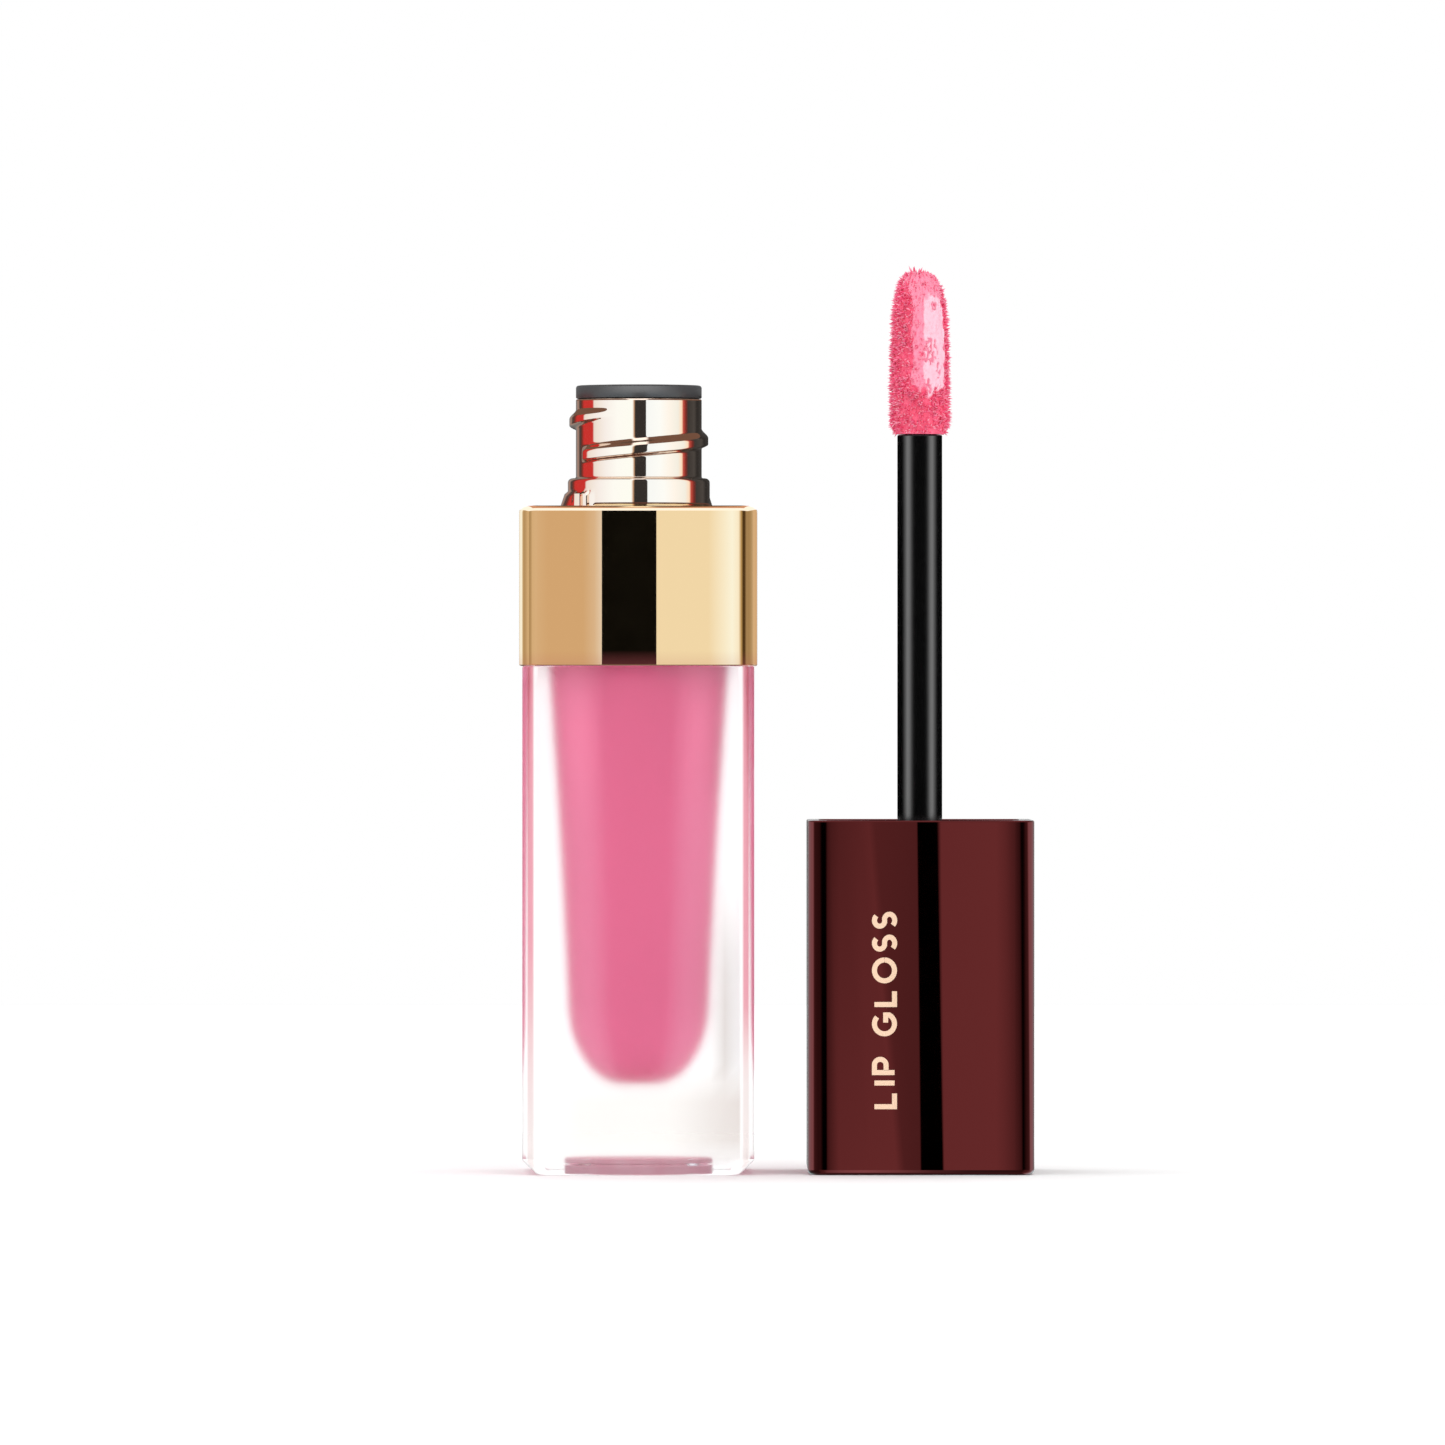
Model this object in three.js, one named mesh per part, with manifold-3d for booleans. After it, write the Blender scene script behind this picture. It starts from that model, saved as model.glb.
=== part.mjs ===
// A lip gloss tube, shown open: the square bottle with its plated neck, and beside it the
// applicator, standing on the closed end of its cap with the wand pointing up.
// Millimetres, +Z up, the front faces -Y, and Z = 0 is the surface that both halves stand on.
import * as THREE from "three";
import { mergeVertices, toCreasedNormals } from "three/addons/utils/BufferGeometryUtils.js";
import Module from "manifold-3d";

const wasm = await Module();
wasm.setup();

// ---------------------------------------------------------------- driving dimensions
const AXIS_SPACING = 22.56; // between the bottle's axis and the applicator's
const PRESS_GAP = 0.05; // left between pieces that are pressed or glued together
const LOOSE_GAP = 0.1; // left between pieces that only locate each other
const EDGE_BREAK = 0.15; // the small bevel that takes the sharpness off an edge

const BODY = { width: 18.5, height: 40.6, corner: 1.2, footBevel: 1.1 };
const SHOULDER = { width: 16.3, corner: 1.0, top: 52.3 };
const CAVITY = { floor: 7.2, floorRadius: 0.8, bend: 13.9, bendRadius: 5.65 };
const CAVITY_FLARE = { z: 22.7, radius: 6.05 };
const CAVITY_TOP = { z: 40.6, radius: 7.2, shoulderStart: 47.5, shoulderEnd: 51.2 };
const BORE = { radius: 3.55, outerRadius: 4.25, top: 62.0 };
const RECESS = { radius: 5.9, depth: 1.2 };
const BASE_PLUG_FOOT = 0.1; // how far the plug in the recess stays clear of the table

const COLLAR = { width: 19.0, corner: 1.4, top: 53.4, wall: 1.2, plate: 1.0, bevel: 0.4 };
const COLLAR_HOLE = 5.3;

const NECK = { radius: 5.05, skirtRadius: 5.2, top: 62.05 };
const BEAD = { radius: 5.7, top: 55.7, edge: 0.35 };
const LUG = { radius: 6.1, topRadius: 5.75, height: 1.05, from: 40, to: 88 };
const THREAD = { pitch: 3.0, height: 0.52, half: 0.72, sink: 0.15 };
const NECK_THREAD = { startZ: 57.6, startAngle: -155, sweep: 403, fadeIn: 14, fadeOut: 36 };
const LINER_THREAD = { startAngle: 210, sweep: 450, fade: 25 };

const WIPER = { flangeTop: 63.15, tubeRadius: 3.5, boreRadius: 3.0, coneTop: 53.2, funnel: 0.4 };
const WIPER_LIP = { z: 50.0, radius: 1.75, wall: 0.45 };
const GLOSS_LEVEL = 47.3;

const CAP = { width: 18.1, height: 28.3, corner: 1.5, wall: 1.0, end: 1.4, bevel: 0.4 };
const LINER = { rim: 28.1, flange: 1.8, outerRadius: 6.7, foot: 16.4, fin: 1.0, finFoot: 12.0 };
const SOCKET = { radius: 5.8, floor: 17.9 };
const BOSS = { radius: 3.3, foot: 8.0, boreRadius: 2.1 };
const WASHER = { thickness: 0.55, radius: 5.6, holeRadius: 2.9 };
const STEM = { radius: 1.8, plugRadius: 2.0, foot: 8.2, leadIn: 0.4 };
const STEM_FLANGE = { radius: 2.6, height: 0.45 };
const STEM_BORE = { radius: 1.0, depth: 8.4 };
const TIP = { foot: 59.2, core: 71.9, coreRadius: 1.8, shankRadius: 0.95, shankLength: 7.6 };
const FLOCK = { top: 72.5, radius: 2.35, footRadius: 2.15, swell: 1.1, noseRatio: 1.9 };
const COAT = { thickness: 0.16, gap: 0.04, centreZ: 66.3, height: 8.6, width: 2.6, turn: 32 };

const ROUND = 40; // sides of a full circle
const FINE_ROUND = 24; // sides of the stem and tip
const CORNER_STEPS = 4; // sides of each rounded corner
const THREAD_STEP = 11; // degrees of a thread between two sections

// The two halves stand side by side, with the pair's own width centred on X = 0.
const BOTTLE_X = ((COLLAR.width - CAP.width) / 2 - AXIS_SPACING) / 2;
const APPLICATOR_X = BOTTLE_X + AXIS_SPACING;

// ---------------------------------------------------------------- shape helpers
const rad = THREE.MathUtils.degToRad;
const at = (r, z) => new THREE.Vector2(r, z);

// A closed mesh as a solid that can be joined and cut.
function solid(geometry) {
  const bare = new THREE.BufferGeometry();
  bare.setAttribute("position", geometry.getAttribute("position"));
  bare.setIndex(geometry.getIndex());
  const merged = mergeVertices(bare, 1e-4);
  const faces = merged.index.array;
  const triVerts = [];
  for (let i = 0; i < faces.length; i += 3) {
    const [a, b, c] = [faces[i], faces[i + 1], faces[i + 2]];
    if (a !== b && b !== c && c !== a) triVerts.push(a, b, c);
  }
  const vertProperties = merged.attributes.position.array;
  const mesh = new wasm.Mesh({ numProp: 3, vertProperties, triVerts: new Uint32Array(triVerts) });
  return new wasm.Manifold(mesh);
}

// A profile of (radius, z) points turned about the Z axis. It starts and ends on the axis, or
// its last point is joined to its first. It runs with the material on its left.
function turned(profile, sides = ROUND) {
  const closed = profile[0].x > 0 ? [...profile, profile[0].clone()] : profile;
  return solid(new THREE.LatheGeometry(closed, sides).rotateX(Math.PI / 2));
}

// A skin over a stack of rings with equal numbers of points, closed at both ends.
function loft(rings) {
  const n = rings[0].length;
  const faces = [];
  for (let i = 0; i + 1 < rings.length; i++) {
    for (let j = 0; j < n; j++) {
      const [a, b] = [i * n + j, i * n + ((j + 1) % n)];
      faces.push(a, b, b + n, a, b + n, a + n);
    }
  }
  const last = (rings.length - 1) * n;
  for (let j = 1; j + 1 < n; j++) {
    faces.push(0, j + 1, j, last, last + j, last + j + 1);
  }
  const geometry = new THREE.BufferGeometry().setFromPoints(rings.flat());
  geometry.setIndex(faces);
  return solid(geometry);
}

// The outline of a square with rounded corners, at one height.
function squareRing(width, corner, z) {
  const inner = width / 2 - corner;
  const points = [];
  for (let quarter = 0; quarter < 4; quarter++) {
    const [sx, sy] = [[1, 1], [-1, 1], [-1, -1], [1, -1]][quarter];
    for (let step = 0; step <= CORNER_STEPS; step++) {
      const t = (quarter + step / CORNER_STEPS) * (Math.PI / 2);
      const x = sx * inner + corner * Math.cos(t);
      const y = sy * inner + corner * Math.sin(t);
      points.push(new THREE.Vector3(x, y, z));
    }
  }
  return points;
}

// A square block whose lower and upper edges are rounded over by the two bevels.
function squareBlock(width, corner, low, high, lowBevel = 0, highBevel = 0) {
  const steps = [0, 30, 60, 90];
  const inset = (bevel, angle) => bevel * (1 - Math.sin(rad(angle)));
  const rise = (bevel, angle) => bevel * (1 - Math.cos(rad(angle)));
  const ring = (cut, z) => squareRing(width - 2 * cut, Math.max(corner - cut, 0.2), z);
  const foot = lowBevel
    ? steps.map((s) => ring(inset(lowBevel, s), low + rise(lowBevel, s)))
    : [ring(0, low)];
  const head = highBevel
    ? steps.map((s) => ring(inset(highBevel, s), high - rise(highBevel, s))).reverse()
    : [ring(0, high)];
  return loft([...foot, ...head]);
}

function tube(inner, outer, low, high, sides = ROUND) {
  return turned([at(inner, low), at(outer, low), at(outer, high), at(inner, high)], sides);
}

function rod(radius, low, high, sides = ROUND) {
  return turned([at(0, low), at(radius, low), at(radius, high), at(0, high)], sides);
}

// Points of a quarter ellipse from angle a to angle b, in degrees, about a centre.
function arc(centreR, centreZ, a, b, radiusR, radiusZ, steps = 5) {
  return Array.from({ length: steps + 1 }, (_, i) => {
    const t = rad(a + ((b - a) * i) / steps);
    return at(centreR + radiusR * Math.cos(t), centreZ + radiusZ * Math.sin(t));
  });
}

// A right-hand helical ridge. side is 1 for one on a shaft and -1 for one in a bore, and the
// ridge fades into the wall at both ends.
function ridge({ wall, side, startZ, startAngle, sweep, fadeIn, fadeOut }) {
  const { height, half, sink, pitch } = THREAD;
  const section = [
    [-2 * sink, -half],
    [0.6 * height, -0.76 * half],
    [height, -0.28 * half],
    [height, 0.2 * half],
    [0.55 * height, 0.76 * half],
    [-2 * sink, half],
  ];
  const steps = Math.ceil(sweep / THREAD_STEP);
  const rings = [];
  for (let i = 0; i <= steps; i++) {
    const turn = (sweep * i) / steps;
    const swell = Math.min(1, turn / fadeIn, (sweep - turn) / fadeOut);
    const angle = rad(startAngle + turn);
    const z = startZ + (pitch * turn) / 360;
    const ring = section.map(([out, up]) => {
      const r = wall + side * (out < 0 ? out : -sink + swell * (sink + out));
      return new THREE.Vector3(r * Math.cos(angle), r * Math.sin(angle), z + up);
    });
    rings.push(side > 0 ? ring.reverse() : ring);
  }
  return loft(rings);
}

// ---------------------------------------------------------------- materials
function finish(color, roughness, metalness, extra = {}) {
  return new THREE.MeshStandardMaterial({ color, roughness, metalness, ...extra });
}

const clearWall = finish(0xf6f3f1, 0.25, 0.0, { transparent: true, opacity: 0.35 });
const roseGold = finish(0xe9c9ac, 0.12, 1.0);
const paleGold = finish(0xd9ac68, 0.16, 1.0);
const darkRubber = finish(0x3a3a3c, 0.55, 0.0);
const pinkGloss = finish(0xe06e91, 0.25, 0.0);
const basePlastic = finish(0xd79aa8, 0.6, 0.0);
const maroonLacquer = finish(0x5c2324, 0.08, 0.0);
const linerPlastic = finish(0x3b1517, 0.4, 0.0);
const linerFoam = finish(0xe6e0da, 0.8, 0.0);
const blackPlastic = finish(0x0a0a0b, 0.2, 0.0);
const coreRubber = finish(0xd8a9b4, 0.6, 0.0);
const pinkFlock = finish(0xe0577f, 0.95, 0.0);
const wetGloss = finish(0xf7a6bf, 0.05, 0.0);

// The finished solid as a named, shaded mesh.
function piece(name, made, material) {
  const { vertProperties, triVerts } = made.getMesh();
  const geometry = new THREE.BufferGeometry();
  geometry.setAttribute("position", new THREE.BufferAttribute(vertProperties, 3));
  geometry.setIndex(new THREE.BufferAttribute(triVerts, 1));
  const mesh = new THREE.Mesh(toCreasedNormals(geometry, rad(30)), material);
  mesh.name = name;
  return mesh;
}

// ---------------------------------------------------------------- the bottle
// The wall of the gloss chamber, from its floor on the axis up to the foot of the neck bore.
// inset draws it inwards, for what fills the chamber.
function chamberWall(inset) {
  const { floor, floorRadius, bend, bendRadius } = CAVITY;
  const { z, radius, shoulderStart, shoulderEnd } = CAVITY_TOP;
  const rise = shoulderEnd - shoulderStart;
  return [
    at(0, floor + inset),
    ...arc(floorRadius, bend, -90, 0, bendRadius - floorRadius - inset, bend - floor - inset),
    at(CAVITY_FLARE.radius - inset, CAVITY_FLARE.z),
    at(radius - inset, z),
    ...arc(BORE.radius, shoulderStart, 0, 90, radius - BORE.radius - inset, rise, 4),
  ];
}

function bottleBody() {
  const outside = squareBlock(BODY.width, BODY.corner, 0, BODY.height, BODY.footBevel)
    .add(squareBlock(SHOULDER.width, SHOULDER.corner, BODY.height - 1, SHOULDER.top))
    .add(rod(BORE.outerRadius, SHOULDER.top - 1, BORE.top));
  const chamber = turned([
    ...chamberWall(0),
    at(BORE.radius, BORE.top + 1),
    at(0, BORE.top + 1),
  ]);
  const recess = rod(RECESS.radius, -1, RECESS.depth);
  return piece("bottle_body", outside.subtract(chamber).subtract(recess), clearWall);
}

function glossFill() {
  const wall = chamberWall(PRESS_GAP).filter((p) => p.y < GLOSS_LEVEL);
  const brim = at(CAVITY_TOP.radius - PRESS_GAP, GLOSS_LEVEL);
  return piece("gloss_fill", turned([...wall, brim, at(0, GLOSS_LEVEL)]), pinkGloss);
}

function basePlug() {
  const made = rod(RECESS.radius - PRESS_GAP, BASE_PLUG_FOOT, RECESS.depth - PRESS_GAP);
  return piece("base_plug", made, basePlastic);
}

function goldCollar() {
  const { width, corner, top, wall, plate, bevel } = COLLAR;
  const foot = BODY.height + PRESS_GAP;
  const hollow = squareBlock(width - 2 * wall, 1, foot - 1, top - plate);
  const made = squareBlock(width, corner, foot, top, 0, bevel)
    .subtract(hollow)
    .subtract(rod(COLLAR_HOLE, top - plate - 1, top + 1));
  return piece("gold_collar", made, paleGold);
}

// Two opposite wedges beside the bead, which stop the cap from being turned too far.
function neckLugs(foot) {
  const skirt = turned([
    at(NECK.radius - 0.2, foot),
    at(LUG.radius, foot),
    at(LUG.topRadius, foot + LUG.height),
    at(NECK.radius - 0.2, foot + LUG.height),
  ]);
  const reach = 2 * LUG.radius;
  const wedge = new THREE.Shape([
    at(0, 0),
    at(-reach * Math.sin(rad(LUG.to)), -reach * Math.cos(rad(LUG.to))),
    at(-reach * Math.sin(rad(LUG.from)), -reach * Math.cos(rad(LUG.from))),
  ]);
  const sector = new THREE.ExtrudeGeometry(wedge, { depth: 3, bevelEnabled: false });
  const opposite = sector.clone().rotateZ(Math.PI);
  return [sector, opposite].map((g) => skirt.intersect(solid(g.translate(0, 0, foot - 1))));
}

function threadedNeck() {
  const inner = BORE.outerRadius + LOOSE_GAP;
  const beadFoot = COLLAR.top + PRESS_GAP;
  const { radius, top, edge } = BEAD;
  const sleeve = turned([
    at(inner, SHOULDER.top + PRESS_GAP),
    at(NECK.skirtRadius, SHOULDER.top + PRESS_GAP),
    at(NECK.skirtRadius, beadFoot),
    at(radius, beadFoot),
    ...arc(radius - edge, top - edge, 0, 90, edge, edge, 3),
    at(NECK.radius, top + LOOSE_GAP),
    at(NECK.radius, NECK.top),
    at(inner, NECK.top),
  ]);
  const thread = ridge({ wall: NECK.radius, side: 1, ...NECK_THREAD });
  const made = neckLugs(beadFoot).reduce((sum, lug) => sum.add(lug), sleeve.add(thread));
  return piece("threaded_neck", made, roseGold);
}

function wiper() {
  const { flangeTop, tubeRadius, boreRadius, coneTop, funnel } = WIPER;
  const { z: lip, radius, wall } = WIPER_LIP;
  const foot = NECK.top + PRESS_GAP;
  const made = turned([
    at(radius, lip),
    at(radius + wall, lip),
    at(tubeRadius, coneTop),
    at(tubeRadius, foot),
    at(NECK.radius - EDGE_BREAK, foot),
    at(NECK.radius, foot + EDGE_BREAK),
    at(NECK.radius, flangeTop - EDGE_BREAK),
    at(NECK.radius - EDGE_BREAK, flangeTop),
    at(boreRadius + funnel, flangeTop),
    at(boreRadius, flangeTop - funnel),
    at(boreRadius, coneTop + funnel),
  ]);
  return piece("wiper", made, darkRubber);
}

// ---------------------------------------------------------------- the applicator
function overcap() {
  const { width, height, corner, wall, end, bevel } = CAP;
  const made = squareBlock(width, corner, 0, height, bevel, EDGE_BREAK).subtract(
    squareBlock(width - 2 * wall, corner - wall, end, height + 1),
  );
  return piece("overcap", made, maroonLacquer);
}

// The height at which the liner's ridge starts, so that it lies half a pitch from the neck's
// thread when the cap is turned over and screwed home on the collar.
function linerThreadStart() {
  const { startZ, startAngle } = NECK_THREAD;
  const travel = 180 - LINER_THREAD.startAngle - startAngle;
  const closedZ = startZ + (THREAD.pitch * travel) / 360 + THREAD.pitch / 2;
  const z = COLLAR.top + CAP.height - closedZ;
  return z - THREAD.pitch * Math.floor((z - SOCKET.floor - THREAD.pitch) / THREAD.pitch);
}

function linerFin(angle) {
  const half = CAP.width / 2 - CAP.wall - 2 * LOOSE_GAP;
  const height = LINER.rim - 1 - LINER.finFoot;
  const slab = new THREE.BoxGeometry(2 * half, LINER.fin, height);
  return solid(slab.translate(0, 0, LINER.finFoot + height / 2).rotateZ(rad(angle)));
}

function innerCap() {
  const square = CAP.width - 2 * (CAP.wall + LOOSE_GAP);
  const shell = squareBlock(square, 0.4, LINER.rim - LINER.flange, LINER.rim)
    .add(rod(LINER.outerRadius, LINER.foot, LINER.rim - 0.5))
    .add(rod(BOSS.radius, BOSS.foot, LINER.foot + 0.5))
    .add(linerFin(0))
    .add(linerFin(90));
  const { startAngle, sweep, fade } = LINER_THREAD;
  const startZ = linerThreadStart();
  const ends = { startAngle, sweep, fadeIn: fade, fadeOut: fade };
  const thread = ridge({ wall: SOCKET.radius, side: -1, startZ, ...ends });
  const made = shell
    .subtract(rod(SOCKET.radius, SOCKET.floor, LINER.rim + 1))
    .subtract(rod(BOSS.boreRadius, BOSS.foot - 1, SOCKET.floor + 1, FINE_ROUND))
    .add(thread);
  return piece("inner_cap", made, linerPlastic);
}

function sealWasher() {
  const foot = SOCKET.floor + PRESS_GAP;
  const made = tube(WASHER.holeRadius, WASHER.radius, foot, foot + WASHER.thickness);
  return piece("seal_washer", made, linerFoam);
}

function stem() {
  const flange = SOCKET.floor + PRESS_GAP;
  const profile = [
    at(0, STEM.foot),
    at(STEM.plugRadius - STEM.leadIn, STEM.foot),
    at(STEM.plugRadius, STEM.foot + STEM.leadIn),
    at(STEM.plugRadius, flange),
    at(STEM_FLANGE.radius, flange),
    at(STEM_FLANGE.radius, flange + STEM_FLANGE.height),
    at(STEM.radius, flange + STEM_FLANGE.height),
    at(STEM.radius, TIP.foot - EDGE_BREAK),
    at(STEM.radius - EDGE_BREAK, TIP.foot),
    at(STEM_BORE.radius, TIP.foot),
    at(STEM_BORE.radius, TIP.foot - STEM_BORE.depth),
    at(0, TIP.foot - STEM_BORE.depth),
  ];
  return piece("stem", turned(profile, FINE_ROUND), blackPlastic);
}

// The bullet outline shared by the rubber tip and the flock over it.
function bullet(footRadius, radius, foot, top) {
  const dome = FLOCK.noseRatio * radius;
  const nose = arc(0, top - dome, 0, 90, radius, dome, 7).slice(0, -1);
  return [at(footRadius, foot), at(radius, foot + FLOCK.swell), ...nose, at(0, top)];
}

function tipCore() {
  const foot = TIP.foot + PRESS_GAP;
  const shankEnd = foot - TIP.shankLength;
  const outline = bullet(TIP.coreRadius - EDGE_BREAK, TIP.coreRadius, foot, TIP.core);
  const made = turned(
    [at(0, shankEnd), at(TIP.shankRadius, shankEnd), at(TIP.shankRadius, foot), ...outline],
    FINE_ROUND,
  );
  return piece("tip_core", made, coreRubber);
}

function flocking() {
  const foot = TIP.foot + PRESS_GAP;
  const outer = turned(
    [at(0, foot), ...bullet(FLOCK.footRadius, FLOCK.radius, foot, FLOCK.top)],
    FINE_ROUND,
  );
  const wall = PRESS_GAP;
  const core = bullet(TIP.coreRadius - EDGE_BREAK + wall, TIP.coreRadius + wall, foot, TIP.core + wall);
  const hollow = turned([at(0, foot - 1), at(core[0].x, foot - 1), ...core], FINE_ROUND);
  return piece("flocking", outer.subtract(hollow), pinkFlock);
}

// A wet film of gloss on the front right of the flock, in the outline of a long oval.
function glossCoat() {
  const foot = TIP.foot + PRESS_GAP;
  const swollen = (by) => [
    at(0, foot),
    ...bullet(FLOCK.footRadius + by, FLOCK.radius + by, foot, FLOCK.top + by),
  ];
  const skin = turned(swollen(COAT.gap + COAT.thickness), FINE_ROUND).subtract(
    turned([at(0, foot - 1), at(1, foot - 1), ...swollen(COAT.gap)], FINE_ROUND),
  );
  const oval = new THREE.Shape().absellipse(0, 0, COAT.width / 2, COAT.height / 2, 0, 2 * Math.PI);
  const punch = new THREE.ExtrudeGeometry(oval, { depth: 5, bevelEnabled: false, curveSegments: 10 });
  punch.rotateX(Math.PI / 2).translate(0, 0, COAT.centreZ).rotateZ(rad(COAT.turn));
  return piece("gloss_coat", skin.intersect(solid(punch)), wetGloss);
}

// ---------------------------------------------------------------- the assembly
const bottle = new THREE.Group();
bottle.add(bottleBody(), glossFill(), basePlug(), goldCollar(), threadedNeck(), wiper());
bottle.position.x = BOTTLE_X;

const applicator = new THREE.Group();
applicator.add(overcap(), innerCap(), sealWasher(), stem(), tipCore(), flocking(), glossCoat());
applicator.position.x = APPLICATOR_X;

const lipGlossTube = new THREE.Group();
lipGlossTube.add(bottle, applicator);
export default lipGlossTube;
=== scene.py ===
import math
import random

import bpy
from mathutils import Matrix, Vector, noise

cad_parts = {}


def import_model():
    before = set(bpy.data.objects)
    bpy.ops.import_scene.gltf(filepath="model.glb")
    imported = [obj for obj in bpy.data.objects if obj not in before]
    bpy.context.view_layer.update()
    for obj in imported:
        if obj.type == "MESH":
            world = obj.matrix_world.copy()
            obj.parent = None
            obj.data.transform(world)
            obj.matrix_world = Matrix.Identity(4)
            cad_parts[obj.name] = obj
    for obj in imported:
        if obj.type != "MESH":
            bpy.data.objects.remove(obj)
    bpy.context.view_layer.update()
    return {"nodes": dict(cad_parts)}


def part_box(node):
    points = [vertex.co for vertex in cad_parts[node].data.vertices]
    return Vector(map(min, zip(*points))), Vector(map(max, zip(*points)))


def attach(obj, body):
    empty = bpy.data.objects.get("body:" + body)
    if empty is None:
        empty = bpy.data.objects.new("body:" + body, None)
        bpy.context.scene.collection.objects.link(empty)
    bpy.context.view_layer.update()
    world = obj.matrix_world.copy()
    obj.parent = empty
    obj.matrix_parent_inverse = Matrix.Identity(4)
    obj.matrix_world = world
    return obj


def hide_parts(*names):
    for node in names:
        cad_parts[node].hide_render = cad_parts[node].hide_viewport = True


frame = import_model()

MM = 0.001
TAU = 2 * math.pi


# ---------------------------------------------------------------- numbers
def smooth(t):
    """Eases from 0 to 1 and stays there at both ends."""
    t = min(max(t, 0.0), 1.0)
    return t * t * (3 - 2 * t)


def blend(a, b, t):
    """A mix of two colours, from a at 0 to b at 1."""
    return tuple(p + (q - p) * t for p, q in zip(a, b))


def grey(shade):
    """A colour as it is, or a number as a grey."""
    return shade if isinstance(shade, tuple) else (shade, shade, shade)


def between(low, high, steps):
    """Even steps from low to high, without the two ends."""
    return [low + (high - low) * i / steps for i in range(1, steps)]


# ---------------------------------------------------------------- places, read from the frame
BOTTLE_AXIS = sum(v.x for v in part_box("wiper")) / 2
CAP_AXIS = sum(v.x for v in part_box("overcap")) / 2


def span(node):
    """The lowest and highest Z of a CAD node, in millimetres."""
    low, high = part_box(node)
    return low.z / MM, high.z / MM


def width(node):
    """The width of a CAD node along Y, in millimetres."""
    low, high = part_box(node)
    return (high.y - low.y) / MM


# ---------------------------------------------------------------- camera
VIEW_CENTRE = (-4.335, 36.1)  # mm, X and Z
VIEW_WIDTH = 115.6  # mm across the frame
VIEW_DISTANCE = 1200.0
SHARP_PLANE = width("bottle_body") / 4  # in front of the axes, where the frame width is measured
SENSOR = 36.0


def make_camera():
    data = bpy.data.cameras.new("camera")
    data.sensor_width = SENSOR
    data.lens = SENSOR * (VIEW_DISTANCE - SHARP_PLANE) / VIEW_WIDTH
    data.clip_start, data.clip_end = 0.01, 20.0
    camera = bpy.data.objects.new("camera", data)
    camera.location = (VIEW_CENTRE[0] * MM, -VIEW_DISTANCE * MM, VIEW_CENTRE[1] * MM)
    camera.rotation_euler = (math.pi / 2, 0, 0)
    bpy.context.scene.collection.objects.link(camera)
    bpy.context.scene.camera = camera


# ---------------------------------------------------------------- mesh helpers
def link(name, verts, faces, axis_x=0.0, sharp=35):
    """A mesh object from points in millimetres about an axis at axis_x metres."""
    mesh = bpy.data.meshes.new(name)
    mesh.from_pydata([(x * MM + axis_x, y * MM, z * MM) for x, y, z in verts], [], faces)
    mesh.validate()
    mesh.shade_smooth()
    mesh.set_sharp_from_angle(angle=math.radians(sharp))
    made = bpy.data.objects.new(name, mesh)
    bpy.context.scene.collection.objects.link(made)
    return made


def steady(made):
    """Keeps the shading of a flat face flat right up to its rounded edges."""
    normals = made.modifiers.new("normals", "WEIGHTED_NORMAL")
    normals.weight, normals.keep_sharp = 100, True
    return made


def points_of(made, axis_x):
    """A mesh's points in millimetres about an axis at axis_x metres."""
    return [((v.co.x - axis_x) / MM, v.co.y / MM, v.co.z / MM) for v in made.data.vertices]


def colour_points(made, colours, layer="tint"):
    """Gives a mesh one colour at each of its points."""
    points = made.data.color_attributes.new(layer, "FLOAT_COLOR", "POINT").data
    for point, colour in zip(points, colours):
        point.color = (*colour, 1)


def skin(rings, loop=False, poles=(False, False)):
    """Points and faces over a stack of equal rings, as a closed loop or with a fan at each pole."""
    n = len(rings[0])
    verts = [p for ring in rings for p in ring]
    faces = []
    last = len(rings) if loop else len(rings) - 1
    for i in range(last):
        a, b = i * n, ((i + 1) % len(rings)) * n
        faces += [(a + j, a + (j + 1) % n, b + (j + 1) % n, b + j) for j in range(n)]
    for wanted, ring, start in ((poles[0], rings[0], 0), (poles[1], rings[-1], (len(rings) - 1) * n)):
        if wanted:
            centre = len(verts)
            verts.append((0.0, 0.0, ring[0][2]))
            fan = [(centre, start + (j + 1) % n, start + j) for j in range(n)]
            faces += fan if start == 0 else [f[::-1] for f in fan]
    return verts, faces


def square_angles(corner_steps, flat_steps):
    """Pairs (quarter, place) round a rounded square: place is 0 to 1 on the arc and 1 to 2 on the flat."""
    for quarter in range(4):
        for i in range(corner_steps):
            yield quarter, i / corner_steps
        for place in (0.0, 0.006, *(i / flat_steps for i in range(1, flat_steps)), 0.994):
            yield quarter, 1 + place


STEPS = tuple(square_angles(10, 14))


def square_ring(half, corner, z):
    """A rounded square's outline at height z."""
    inner = half - corner
    signs = ((1, 1), (-1, 1), (-1, -1), (1, -1))
    ring = []
    for quarter, place in STEPS:
        sx, sy = signs[quarter]
        angle = (quarter + min(place, 1)) * math.pi / 2
        x = sx * inner + corner * math.cos(angle)
        y = sy * inner + corner * math.sin(angle)
        if place > 1:
            along = (place - 1) * 2 * inner
            x, y = x - along * math.sin(angle), y + along * math.cos(angle)
        ring.append((x, y, z))
    return ring


def round_ring(radius, z):
    """A circle with its points at the same bearings as those of the bottle's outline."""
    ring = []
    for x, y, _ in square_ring(width("bottle_body") / 2, CORNER, 0):
        length = math.hypot(x, y)
        ring.append((radius * x / length, radius * y / length, z))
    return ring


def circle(radius, z, sides):
    """A circle with its points evenly spaced."""
    turns = [TAU * j / sides for j in range(sides)]
    return [(radius * math.cos(t), radius * math.sin(t), z) for t in turns]


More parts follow.
